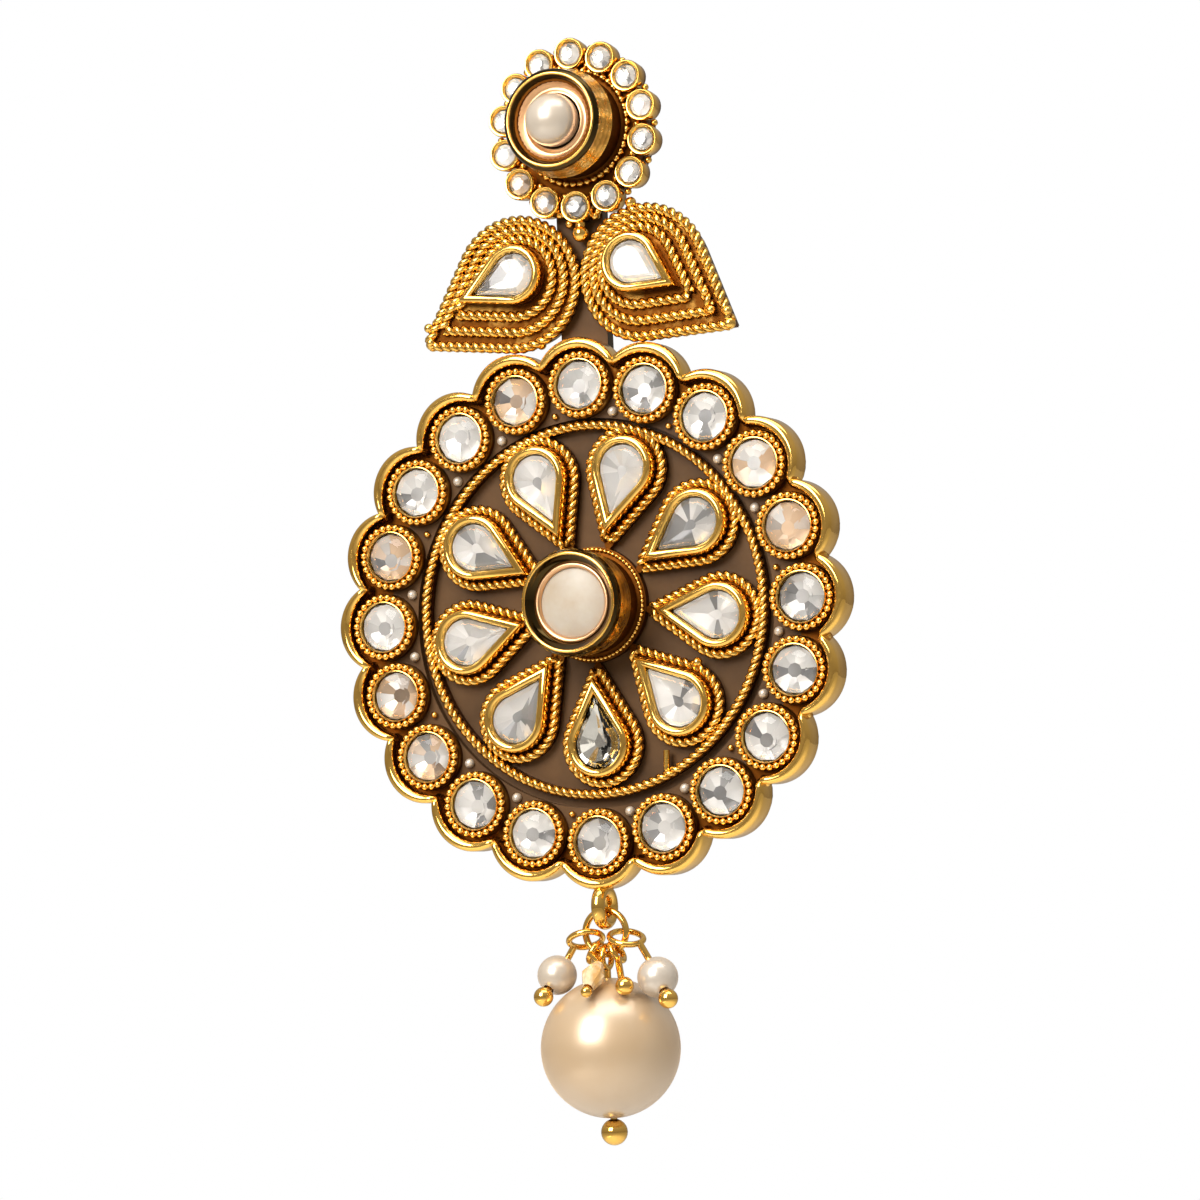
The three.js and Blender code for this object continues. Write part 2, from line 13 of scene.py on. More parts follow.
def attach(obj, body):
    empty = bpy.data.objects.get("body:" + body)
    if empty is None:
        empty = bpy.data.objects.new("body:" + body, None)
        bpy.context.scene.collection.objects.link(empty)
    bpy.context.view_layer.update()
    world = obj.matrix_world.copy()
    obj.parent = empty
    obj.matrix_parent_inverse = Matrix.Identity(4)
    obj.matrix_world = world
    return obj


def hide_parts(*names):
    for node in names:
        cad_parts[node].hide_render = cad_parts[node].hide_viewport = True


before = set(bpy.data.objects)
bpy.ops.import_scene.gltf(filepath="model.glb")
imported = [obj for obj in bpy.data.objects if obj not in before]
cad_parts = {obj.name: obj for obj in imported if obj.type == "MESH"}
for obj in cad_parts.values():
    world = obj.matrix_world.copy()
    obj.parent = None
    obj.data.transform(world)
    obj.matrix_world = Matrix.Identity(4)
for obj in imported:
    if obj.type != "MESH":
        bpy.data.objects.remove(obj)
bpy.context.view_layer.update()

bl_info = {
    "name": "Hair Braid Ornament",
    "version": (1, 0, 0),
    "blender": (4, 5, 0),
    "location": "View3D > Sidebar > Ornament",
    "description": "Dresses the packed braid ornament with gilt wire, stones and pearls",
    "category": "Object",
}

# Face frame, millimetres: x right, y up, z out of the face, zero at the disc's centre on the plate's front.
MM = 1000
PLATE_THICK = 1.2
HAIR_SEAT_Y = 14
FACE = (
    Matrix.Scale(1 / MM, 4)
    @ Matrix.Translation((0, -PLATE_THICK, -HAIR_SEAT_Y))
    @ Matrix.Rotation(pi / 2, 4, "X")
)
X_AXIS, Y_AXIS, OUT = Vector((1, 0, 0)), Vector((0, 1, 0)), Vector((0, 0, 1))

Drop = namedtuple("Drop", "centre tip radius")
Gem = namedtuple("Gem", "radius table seat girdle top")
# A collet's cuts are their count, lowest and highest place and seed; its ridge is a radius and a height.
Collet = namedtuple("Collet", "wall sides cuts rim rim_sides ridge")

# Height at which the settings lie on the plate.
SEAT = 0.02
PLATE = {"inset": 0.45, "neck": 2.2, "neck_foot": 20, "flower": 6.6}

STONES = 20
FIRST_STONE = pi / 2
STONE_RING = 19.75
RIM_GEM = Gem(2.1, 1.3, 0.9, 1.6, 2.35)
PEACH_STONES = (2, 5, 7, 8, 17, 18)
LIP_RING = 19.95
LIP_RADIUS = 3.9
LIP_WIDTH = 0.85
LIP_TOP = 2.4
PER_SCALLOP = 14
RIM_TOP = 0.7
RIM_INNER = 16.85
LACQUER_EDGE = 19.4
BEZEL_GRAINS = {"ring": 2.6, "height": 1.76}
NOTCH_GRAINS = {"ring": 21.9, "height": 1.0, "radius": 0.36}
DOTS = {"ring": 17.45, "height": 0.9, "cream": 0.42, "gilt": 0.3}
# Turned profiles, here and below: radius, height, painted shade (dark at the foot, in the hollows and on the
# undersides).
RIM_BEZEL = (
    (2.12, 0.6, 1.0), (2.12, 1.75, 0.25), (2.14, 1.95, 0.0), (2.19, 2.05, 0.0), (2.25, 2.04, 0.0),
    (2.29, 1.92, 0.2), (2.3, 1.6, 0.8), (2.85, 1.5, 0.9), (2.93, 1.35, 0.6), (2.92, 0.6, 1.0),
)

ROSETTE_Y = 0.7
ROPE_RING = {"y": 0.3, "radius": 15.95, "height": 0.93, "wire": 0.45}
ROPE_RING_BASE = ((15.6, SEAT, 1.0), (16.3, SEAT, 1.0), (16.3, 0.6, 1.0), (15.6, 0.6, 1.0))
PETALS = 9
PETAL = {"first": 112, "ring": 12.1, "radius": 2.7, "reach": 5.5}
# How far the floor, rope and bezel stand outside a petal's drop outline.
PETAL_FLOOR, PETAL_ROPE, PETAL_BEZEL = 0.95, 0.66, 0.14
# How far a drop stone lies inside that outline.
STONE_INSET = 0.65
# The petal whose stone has lost its facets' shine and mirrors like bare foil.
BARE_PETAL = 5
CENTRE_COLLET = Collet(
    wall=(
        (3.4, SEAT, 1.0), (5.0, SEAT, 1.0), (5.0, 0.75, 0.9), (4.3, 0.95, 1.0), (4.2, 1.2, 1.0), (4.2, 2.5, 1.0),
        *((4.45 + 0.15 * sin(pi * i / 12), 2.65 + 2.5 * i / 12, 0.25 + 0.1 * (i % 3)) for i in range(13)),
        (3.4, 5.0, 1.0),
    ),
    sides=150, cuts=(52, 2.7, 5.1, 5),
    rim=(
        (4.45, 5.0, 0.9), (4.6, 5.08, 0.3), (4.66, 5.2, 0.0), (4.64, 5.36, 0.0), (4.52, 5.62, 0.0),
        (4.36, 5.85, 0.0), (4.26, 5.96, 0.0), (4.19, 6.0, 0.0), (4.12, 5.97, 0.0), (4.04, 5.88, 0.0),
        (3.86, 5.58, 0.0), (3.62, 5.28, 0.0), (3.4, 5.08, 0.1), (3.36, 4.9, 0.3), (3.36, 4.6, 0.8), (4.3, 4.6, 1.0),
    ),
    rim_sides=120, ridge=(4.2, 5.92),
)
CABOCHON_SEAT = (
    (3.42, 4.6, 0.8), (3.42, 5.1, 0.2), (3.34, 5.19, 0.0), (3.22, 5.2, 0.0), (3.1, 5.12, 0.0),
    (3.03, 4.98, 0.1), (3.0, 4.8, 0.3), (3.0, 4.6, 0.8),
)
CABOCHON = {"radius": 3.08, "girdle": 4.75, "rise": 0.5}

FLOWER_X = 0.5
FLOWER_Y = 41.85
FLOWER_COLLET_Y = 42.15
CUPS = 14
CUP_RING = 6.7
CUP_GEM = Gem(0.96, 0.55, 1.36, 1.85, 2.3)
PEACH_CUPS = (5, 6)
CUP = (
    (1.28, 0.3, 1.0), (1.36, 1.0, 0.45), (1.4, 1.7, 0.05), (1.38, 1.88, 0.0), (1.29, 2.0, 0.0),
    (1.17, 2.0, 0.0), (1.07, 1.9, 0.0), (1.0, 1.7, 0.3), (0.98, 1.3, 0.8),
)
FLOWER_COLLET = Collet(
    wall=(
        (3.4, SEAT, 1.0), (6.6, SEAT, 1.0), (6.6, 0.75, 0.9), (5.1, 0.85, 1.0), (5.0, 1.1, 0.9), (4.4, 1.3, 1.0),
        (4.3, 3.7, 1.0),
        *((4.74 - 0.32 * i / 10, 3.9 + 2.1 * i / 10, 0.2 + 0.1 * (i % 3)) for i in range(11)),
        (3.4, 5.9, 1.0),
    ),
    sides=130, cuts=(44, 3.95, 5.95, 8),
    rim=(
        (4.3, 5.8, 0.9), (4.42, 5.92, 0.2), (4.46, 6.05, 0.0), (4.42, 6.2, 0.0), (4.28, 6.38, 0.0),
        (4.12, 6.47, 0.0), (4.0, 6.5, 0.0), (3.9, 6.46, 0.0), (3.8, 6.34, 0.0), (3.6, 6.0, 0.0), (3.45, 5.6, 0.1),
        (3.4, 5.2, 0.3), (3.4, 4.8, 0.8), (4.2, 4.8, 1.0),
    ),
    rim_sides=110, ridge=(4.0, 6.43),
)
PEARL_CUP = (
    (3.45, 3.6, 0.8), (3.45, 5.5, 0.1), (3.38, 5.6, 0.0), (3.25, 5.5, 0.0), (2.95, 5.3, 0.1), (2.72, 5.3, 0.1),
    (2.6, 5.42, 0.0), (2.45, 5.45, 0.0), (2.34, 5.3, 0.2), (2.3, 4.9, 0.5), (2.3, 3.6, 0.8),
)

# Each leaf's outline and its stone's: x and y of the round end, x and y of the tip, radius.
LEAVES = {
    "left": ((-5.75, 29, -15, 24.2, 5.85), (-5.75, 29.85, -10.9, 27.95, 2.5)),
    "right": ((6.4, 28.9, 14.7, 23.4, 5.85), (5.35, 29.9, 9.35, 27.55, 2.5)),
}
LEAF_ROPE = 0.5
ROPE_PLACES = (0.26, 0.59, 0.92)
# Loose solder grains by each leaf: x, y, z, radius.
LEAF_GRAINS = {
    "left": (
        (-14.4, 26, 1.2, 0.42), (-14.2, 24.7, 1.3, 0.4), (-3.8, 23.6, 0.7, 0.42), (-1.6, 34.8, 0.5, 0.42),
        (-0.7, 33.9, 0.5, 0.42),
    ),
    "right": (
        (12, 26.7, 1.3, 0.4), (12.5, 25.1, 1.3, 0.42), (13.95, 24.9, 1.2, 0.42), (5.3, 35.15, 0.9, 0.5),
        (1.75, 34.4, 0.5, 0.42),
    ),
}

PIN = {"wire": 0.6, "gap": 0.35, "depth": 7}
LOOP = {"y": -25.3, "z": 1, "radius": 1.4, "wire": 0.6}
RING = {"y": -27.5, "radius": 1.9, "wire": 0.29}
EYE_WIRE = 0.27
STEM_WIRE = 0.3
MAIN_PEARL = {"y": -37.4, "radius": 6, "hole": 0.55}
# An eye: bearing on the ring, lean and turn in degrees, radius, play.
# A dangle's half is half its bead's length, or its ball's radius where it has no bead.
DROP_PIN = {"eye": (-90, 0, 90, 0.95, 0.15), "end": -44.57, "ball": 1.15}
DANGLES = {
    "left": {
        "eye": (-164, 0, 112, 1.45, 0.8), "at": (-4.3, -31, 2), "way": (-0.225, -0.7, 0.68),
        "bead": "pearl", "half": 1.7, "ball": 0.85,
    },
    "right": {
        "eye": (-16, 0, 108, 1.45, 0.8), "at": (5.2, -31.5, 2.2), "way": (0.54, -0.7, 0.47),
        "bead": "pearl", "half": 1.75, "ball": 0.85,
    },
    "front": {
        "eye": (-121, 60, 90, 0.9, 0.2), "at": (0.2, -31.2, 4.45), "way": (0, -0.62, 0.78),
        "bead": "kite", "half": 1.5, "ball": 0.5,
    },
    "ball": {
        "eye": (-59, 50, 90, 0.9, 0.2), "at": (3, -32.1, 4.3), "way": (0.5, -0.6, 0.6),
        "bead": None, "half": 0.8, "ball": 0.8,
    },
}
KITE = ((0.42, -1.5, 0), (0.47, -1.5, 0), (1.05, 0, 0), (0.47, 1.5, 0), (0.42, 1.5, 0))

# Metals: strength of the dark wash of painted shade, roughness, depth of the marks, and bright and dark colours of
# their own.
METALS = {
    "Shade_painted_gilt": (1.0, 0.15, 0.12),
    "Polished_gilt": (0.8, 0.07, 0.04),
    "Milled_gilt": (1.1, 0.2, 0.5),
    # Gold painted dark: a painted dark reflection on the collet rims; also used on the plate's edges.
    "Painted_dark_gilt": (0.3, 0.1, 0.03, (0.06, 0.038, 0.013, 1), (0.015, 0.008, 0.002, 1)),
    "Rose_gilt_cup": (0.6, 0.34, 0.05, (0.85, 0.5, 0.26, 1), (0.42, 0.18, 0.06, 1)),
    "Bare_foil": (0.2, 0.06, 0.02, (0.72, 0.71, 0.67, 1), (0.1, 0.09, 0.08, 1)),
}
# Places of the finishes on a gilt piece, in the order of METALS; the rim has two others after the first two.
PLAIN, POLISHED, MILLED, PAINTED_DARK, ROSE = range(5)
RIM_LACQUER, RIM_CREAM = 2, 3
# Place of the foil on a stone, and the painted shade under a grain.
FOIL = 1
UNDERSIDE = 0.8
# Mesh of a grain that shows large.
FINE = {"sides": 14, "steps": 8}
# First seeds of the stones' facets.
RIM_SEED, PETAL_SEED, CUP_SEED, LEAF_SEED = 100, 300, 500, 700

CAMERA = {
    "azimuth": 24.15, "elevation": -3.8, "roll": -2.5, "lens": 138.9, "sensor": 36, "shift_x": 0.0028, "shift_y": 0.011,
}
LIGHT_DISTANCE = 0.6
# Lights: name, direction as the camera sees it (right, up, back), size, power, colour, whether it glints in the metal.
LIGHTS = (
    ("key", (-0.5, 0.53, 0.69), (0.34, 0.4), 5.6, (1, 0.98, 0.95), True),
    ("fill", (0.5, 0.45, 0.74), (0.3, 0.4), 0.4, (1, 0.97, 0.92), False),
    ("top", (0.1, 0.95, 0.25), (0.6, 0.3), 2.2, (1, 1, 1), True),
    ("low_left", (-0.55, -0.75, 0.4), (0.4, 0.3), 0.8, (1, 0.93, 0.82), True),
    ("behind_left", (-0.85, 0.1, -0.5), (0.3, 0.6), 0.8, (1, 1, 1), False),
    ("behind_right", (0.8, 0.3, -0.55), (0.3, 0.6), 0.8, (1, 1, 1), False),
    ("right", (0.93, 0.15, 0.3), (0.12, 0.5), 0.5, (1, 0.96, 0.9), False),
)
WHITE = (1, 1, 1, 1)
SKY_LOW = (0.1, 0.075, 0.05, 1)
SKY_HIGH = (0.55, 0.53, 0.5, 1)
FLOOR = {"radius": 3500, "height": -0.4, "glow": 0.7}


class OrnamentSizes(bpy.types.PropertyGroup):
    """Sizes of the wire work and the camera's distance"""

    rope_lay: FloatProperty(
        name="Rope lay", description="Length of one full turn of a twisted wire, in radii of the wire",
        default=3.2, min=1.5, max=12,
    )
    grain_radius: FloatProperty(
        name="Grain radius", description="Radius of the grains round each rim stone",
        default=0.00033, min=0.0001, unit="LENGTH",
    )
    grains: IntProperty(
        name="Grains per stone", description="Grains in the ring round each rim stone", default=26, min=8,
    )
    camera_distance: FloatProperty(
        name="Camera distance", description="Distance of the camera from the disc's centre",
        default=0.4, min=0.1, unit="LENGTH",
    )


def colour_property(name, description, colour):
    return FloatVectorProperty(
        name=name, description=description, default=(*colour, 1), size=4, min=0, max=1, subtype="COLOR",
    )


class OrnamentColours(bpy.types.PropertyGroup):
    """Colours of the finishes"""

    gilt: colour_property("Gilt", "Polished gold", (0.95, 0.57, 0.13))
    # The dark colour of the painted shade in the hollows and undersides.
    painted_shade_colour: colour_property("Painted_shade_wash", "Dark wash left in the recesses", (0.1, 0.031, 0.004))
    lacquer: colour_property("Lacquer", "Taupe lacquer on the plate", (0.105, 0.054, 0.022))
    foil: colour_property("Foil", "Silver foil under the stones", (0.95, 0.94, 0.93))
    peach: colour_property("Peach foil", "Warm foil under some stones", (0.86, 0.62, 0.42))
    pearl: colour_property("Pearl", "Cream of the large pearl", (0.5, 0.37, 0.235))
    white_pearl: colour_property("White pearl", "Paler cream of the small pearls", (0.5, 0.44, 0.37))
    cabochon: colour_property("Cabochon", "Cream of the centre stone", (0.43, 0.385, 0.32))
    amber: colour_property("Amber", "Golden glass of the small kite bead", (0.75, 0.45, 0.16))


def sizes():
    return bpy.context.scene.ornament_sizes


def colours():
    return bpy.context.scene.ornament_colours


# Points


def polar(radius, angle, z=0.0):
    return Vector((radius * cos(angle), radius * sin(angle), z))


def angles(count, start=0.0):
    return [start + tau * i / count for i in range(count)]


def circle(radius, count, z=0.0):
    return [polar(radius, angle, z) for angle in angles(count)]


def level(points, height):
    """The points, all at one height."""
    return [Vector((p.x, p.y, height)) for p in points]


def ring_points(centre, radius, count, along=X_AXIS, across=Y_AXIS):
    return [
        Vector(centre) + along * (radius * cos(angle)) + across * (radius * sin(angle)) for angle in angles(count)
    ]


def resampled(points, spacing, closed=False):
    """Points at even steps along a line of points."""
    line = [Vector(p) for p in points]
    if closed:
        line.append(line[0].copy())
    lengths = [0.0]
    for a, b in zip(line, line[1:]):
        lengths.append(lengths[-1] + (b - a).length)
    count = max(2, round(lengths[-1] / spacing))
    even = []
    k = 0
    for i in range(count if closed else count + 1):
        reached = lengths[-1] * i / count
        while k < len(line) - 2 and lengths[k + 1] < reached:
            k += 1
        span = lengths[k + 1] - lengths[k]
        even.append(line[k].lerp(line[k + 1], (reached - lengths[k]) / span if span else 0))
    return even


def catmull_rom(points, per_span):
    """A smooth centripetal line through points."""
    ends = [points[0] * 2 - points[1], *points, points[-1] * 2 - points[-2]]
    line = []
    for i in range(1, len(ends) - 2):
        a, b, c, d = ends[i - 1 : i + 3]
        t1 = sqrt((b - a).length)
        t2 = t1 + sqrt((c - b).length)
        t3 = t2 + sqrt((d - c).length)
        for k in range(per_span):
            t = t1 + (t2 - t1) * k / per_span
            share = (t - t1) / (t2 - t1)
            bc = b.lerp(c, share)
            before = a.lerp(b, t / t1).lerp(bc, t / t2)
            after = bc.lerp(c.lerp(d, (t - t2) / (t3 - t2)), (t - t1) / (t3 - t1))
            line.append(before.lerp(after, share))
    line.append(points[-1])
    return line


def tangents(points, closed):
    count = len(points)
    ways = []
    for i in range(count):
        before = points[i - 1] if closed or i else points[i]
        after = points[(i + 1) % count] if closed or i < count - 1 else points[i]
        ways.append((after - before).normalized())
    return ways


# Mesh tools


def new_work():
    work = bmesh.new()
    work.verts.layers.float.new("painted_shade")
    work.faces.layers.float.new("painted_reflection")
    return work


def add_row(work, points, painted_shade=0.0):
    """Vertices at points, with one painted shade for all or one for each."""
    layer = work.verts.layers.float["painted_shade"]
    row = []
    for i, point in enumerate(points):
        vert = work.verts.new(point)
        vert[layer] = painted_shade[i] if isinstance(painted_shade, list) else painted_shade
        row.append(vert)
    return row


def bridge(work, lower, upper, finish=0):
    """Quads between two rings of vertices."""
    faces = []
    for i in range(len(lower)):
        j = (i + 1) % len(lower)
        face = work.faces.new((lower[i], lower[j], upper[j], upper[i]))
        face.material_index = finish
        faces.append(face)
    return faces


def fan(work, row, centre, painted_shade=0.0, finish=0):
    """Closes a ring of vertices with a fan round a centre point."""
    hub = add_row(work, [centre], painted_shade)[0]
    for i, vert in enumerate(row):
        work.faces.new((vert, row[(i + 1) % len(row)], hub)).material_index = finish


def loft(work, rows, closed=False, capped=True, finish=0):
    """A skin over rings of (points, painted shade), closed on itself or with its ends capped."""
    made = [add_row(work, points, painted_shade) for points, painted_shade in rows]
    for lower, upper in zip(made, made[1:] + made[:1] if closed else made[1:]):
        bridge(work, lower, upper, finish)
    if capped and not closed:
        for row in (made[0], made[-1]):
            centre = sum((v.co for v in row), Vector()) / len(row)
            fan(work, row, centre, row[0][work.verts.layers.float["painted_shade"]], finish)
    return made


def turned(work, profile, sides, place, finish=0, closed=False, wobble=None):
    """A profile of (radius, height, painted shade) turned about z, then put in place by a matrix."""
    rows = []
    for radius, height, painted_shade in profile:
        ring = []
        for angle in angles(sides):
            reach = radius + (wobble(angle, height) if wobble else 0)
            ring.append(place @ polar(reach, angle, height))
        rows.append((ring, painted_shade))
    loft(work, rows, closed, finish=finish)


def grain(work, centre, radius, sides=10, steps=6, finish=0):
    """A small ball, with painted shade on its underside."""
    centre = Vector(centre)
    rows = []
    for i in range(1, steps):
        angle = pi * i / steps
        height = -cos(angle)
        ring = [centre + point for point in circle(radius * sin(angle), sides, radius * height)]
        rows.append((ring, max(0.0, -height) * UNDERSIDE))
    made = loft(work, rows, capped=False, finish=finish)
    fan(work, made[0], centre - OUT * radius, UNDERSIDE, finish)
    fan(work, made[-1], centre + OUT * radius, 0.0, finish)


def globe(work, place, radius, hole=0.0, sides=64, steps=40):
    """A pearl about z, with a drilled hole where it has one."""
    start = asin(hole / radius) if hole else pi / (2 * steps)
    profile = []
    for i in range(steps + 1):
        angle = start + (pi - 2 * start) * i / steps
        profile.append((radius * sin(angle), -radius * cos(angle), 0.0))
    if hole:
        bore = hole * 0.94
        profile += [(bore, radius * 0.9, 0.0), (bore, -radius * 0.9, 0.0)]
    turned(work, profile, sides, place, closed=bool(hole))


def wire(work, points, radius, sides=12, closed=False, taper=None, finish=0):
    """A round wire along a line of points, its section carried along without twist."""
    ways = tangents(points, closed)
    side = ways[0].orthogonal().normalized()
    rows = []
    for i, (point, way) in enumerate(zip(points, ways)):
        side = (side - way * side.dot(way)).normalized()
        over = way.cross(side)
        reach = radius * (taper(i / (len(points) - 1)) if taper else 1)
        spokes = [side * cos(angle) + over * sin(angle) for angle in angles(sides)]
        # Painted shade on the side of the wire that faces the plate.
        rows.append(([point + spoke * reach for spoke in spokes], [max(0.0, -spoke.z) * 0.5 for spoke in spokes]))
    loft(work, rows, closed, finish=finish)


def rope(work, points, radius, closed=False, start=0.0):
    """Two wires twisted together along a line in the face's plane, with painted shade where they turn inward and on the
    side toward the plate.
    """
    line = resampled(points, spacing=0.1, closed=closed)
    step = (line[1] - line[0]).length
    turns = len(line) * step / (sizes().rope_lay * radius)
    if closed:
        turns = round(turns)
    ways = tangents(line, closed)
    last = len(line) if closed else len(line) - 1
    offset = 0.46 * radius
    strand = 0.56 * radius
    speed = tau * turns / (last * step) * offset
    for half in (0, 1):
        rows = []
        for i, (point, way) in enumerate(zip(line, ways)):
            side = OUT.cross(way)
            angle = start + pi * half + tau * turns * i / last
            lean = side * cos(angle) + OUT * sin(angle)
            turn = OUT * cos(angle) - side * sin(angle)
            over = (way + turn * speed).normalized().cross(lean)
            ring = []
            painted_shade = []
            for bearing in angles(8):
                spoke = lean * cos(bearing) + over * sin(bearing)
                ring.append(point + lean * offset + spoke * strand)
                # Painted shade: darker where a strand turns toward the other one and on its side toward the plate.
                depth = 0.5 - 0.5 * cos(bearing)
                low = max(0.0, -(lean * offset + spoke * strand).z / radius)
                painted_shade.append(min(1.0, 0.9 * depth + 0.5 * low))
            rows.append((ring, painted_shade))
        loft(work, rows, closed)


def slab(work, outline, low, high, painted_shade=0.0):
    """An outline in the face's plane raised between two heights."""
    for row in loft(work, [(level(outline, height), painted_shade) for height in (low, high)], capped=False):
        work.faces.new(row)


def rounded(width, top):
    """The half round on top of a lip, from its outer to its inner edge, as (offset, height, painted shade)."""
    half = width / 2
    steps = 8
    arc = []
    for i in range(1, steps):
        angle = pi * i / steps
        arc.append((-half + half * cos(angle), top - half + half * sin(angle), 0.0))
    return arc


def linked(name, work):
    """An object in the scene, made of a bmesh."""
    mesh = bpy.data.meshes.new(name)
    work.to_mesh(mesh)
    work.free()
    made = bpy.data.objects.new(name, mesh)
    bpy.context.scene.collection.objects.link(made)
    return made


def add_piece(name, work, finishes, nodes=(), body="ornament", crease=50, flat=False):
    """Makes an object of a mesh in the face frame, rides it on its body and hides the solids it stands for."""
    bmesh.ops.recalc_face_normals(work, faces=work.faces)
    work.transform(FACE)
    piece = linked(name, work)
    for finish in finishes:
        piece.data.materials.append(finish)
    if flat:
        piece.data.shade_flat()
    else:
        piece.data.shade_smooth()
        piece.data.set_sharp_from_angle(angle=radians(crease))
    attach(piece, body)
    if nodes:
        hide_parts(*nodes)
    return piece


# Drop outlines: a round end about a centre, closed by two straight sides that meet at the tip.


def drop_of(x, y, tip_x, tip_y, radius):
    return Drop(Vector((x, y, 0)), Vector((tip_x, tip_y, 0)), radius)


def petal_drop(k):
    angle = radians(PETAL["first"] - 360 * k / PETALS)
    middle = Y_AXIS * ROSETTE_Y
    return Drop(
        middle + polar(PETAL["ring"], angle), middle + polar(PETAL["ring"] - PETAL["reach"], angle), PETAL["radius"],
    )


def grown(drop, amount):
    radius = drop.radius + amount
    return Drop(drop.centre, drop.centre + (drop.tip - drop.centre) * (radius / drop.radius), radius)


def mixed(drop, other, share):
    return Drop(
        drop.centre.lerp(other.centre, share),
        drop.tip.lerp(other.tip, share),
        drop.radius + (other.radius - drop.radius) * share,
    )


def drop_points(drop, steps=36):
    """The outline, from the tip round the drop."""
    reach = drop.tip - drop.centre
    heading, half = atan2(reach.y, reach.x), acos(drop.radius / reach.length)
    points = [drop.tip.copy()]
    for i in range(steps + 1):
        angle = heading + half + (tau - 2 * half) * i / steps
        points.append(drop.centre + polar(drop.radius, angle))
    return points


def drop_line(drop, trim, height):
    """The outline as an open line from tip to tip, each end trimmed."""
    tip, *points = drop_points(drop, 48)
    start, end = (tip + (point - tip).normalized() * trim for point in (points[0], points[-1]))
    return level([start, *points, end], height)


def drop_bezel(work, drop, wall, high):
    """A drop-shaped bezel with a polished, rounded lip and a sloping inner wall."""
    foot = 0.3
    floor = 1.0
    edge = high - wall / 2
    # Third values are painted shade: dark at the foot and on the inner floor, none on the lip.
    profile = [
        (0, foot, 0.9), (0.02, high - 0.75, 0.35), (0, edge, 0.0), *rounded(wall, high), (-wall, edge, 0.0),
        (-wall - 0.04, high - 0.6, 0.1), (-wall - 0.12, floor, 0.35), (-wall - 0.12, foot, 1.0),
    ]
    rows = [(level(drop_points(grown(drop, amount)), height), painted_shade) for amount, height, painted_shade in profile]
    loft(work, rows, True, finish=POLISHED)


# Rim outline


def rim_radius(angle, grow=0.0):
    """Distance of the scalloped outline from the disc's centre, at an angle."""
    pitch = tau / STONES
    off = (angle - FIRST_STONE + pitch / 2) % pitch - pitch / 2
    radius = LIP_RADIUS + grow
    return LIP_RING * cos(off) + sqrt(radius**2 - (LIP_RING * sin(off)) ** 2)


def rim_outline(grow):
    return [polar(rim_radius(angle, grow), angle) for angle in angles(STONES * PER_SCALLOP, FIRST_STONE - pi / STONES)]


def clear_of_rim(point, clear):
    """The point, moved outwards where it lies nearer to the rim's outline than clear."""
    angle = atan2(point.y, point.x)
    return polar(max(hypot(point.x, point.y), rim_radius(angle, clear)), angle, point.z)


# Finishes


def node(tree, kind, **values):
    """A new node, laid out in rows of six in the order of making."""
    count = len(tree.nodes)
    made = tree.nodes.new(kind)
    made.location = (200 * (count % 6) - 1500, 300 - 300 * (count // 6))
    for key, value in values.items():
        setattr(made, key, value)
    return made


def feed(tree, made, values):
    """Sets a node's inputs, each to a plain value or by a link from a socket."""
    for key, value in values.items():
        if isinstance(value, bpy.types.NodeSocket):
            tree.links.new(value, made.inputs[key])
        else:
            made.inputs[key].default_value = value


def new_group(name, inputs, outputs):
    tree = bpy.data.node_groups.new(name, "ShaderNodeTree")
    for label, default in inputs.items():
        kind = "NodeSocketColor" if default == WHITE else "NodeSocketFloat"
        tree.interface.new_socket(label, in_out="INPUT", socket_type=kind).default_value = default
    for label, kind in outputs.items():
        tree.interface.new_socket(label, in_out="OUTPUT", socket_type=kind)
    return tree, node(tree, "NodeGroupInput").outputs, node(tree, "NodeGroupOutput")


def mix_colour(tree, factor, low, high, blend="MIX"):
    made = node(tree, "ShaderNodeMix", data_type="RGBA", blend_type=blend)
    feed(tree, made, {0: factor, 6: low, 7: high})
    return made.outputs[2]


def calc(tree, operation, a, b):
    made = node(tree, "ShaderNodeMath", operation=operation)
    feed(tree, made, {0: a, 1: b})
    return made.outputs[0]


def attribute(tree, name):
    return node(tree, "ShaderNodeAttribute", attribute_name=name).outputs["Fac"]


def surface_noise(tree, scale, detail=3.0):
    coords = node(tree, "ShaderNodeTexCoord")
    made = node(tree, "ShaderNodeTexNoise")
    feed(tree, made, {"Vector": coords.outputs["Object"], "Scale": scale, "Detail": detail, "Roughness": 0.55})
    return made.outputs["Fac"]


def ramp(tree, source, low, high, start=0.0, end=1.0):
    made = node(tree, "ShaderNodeMapRange")
    feed(tree, made, {"Value": source, "From Min": low, "From Max": high, "To Min": start, "To Max": end})
    return made.outputs["Result"]


def add_bump(tree, shader, height, strength):
    bump = node(tree, "ShaderNodeBump")
    feed(tree, bump, {"Strength": strength, "Distance": 0.00002, "Height": height})
    feed(tree, shader, {"Normal": bump.outputs["Normal"]})


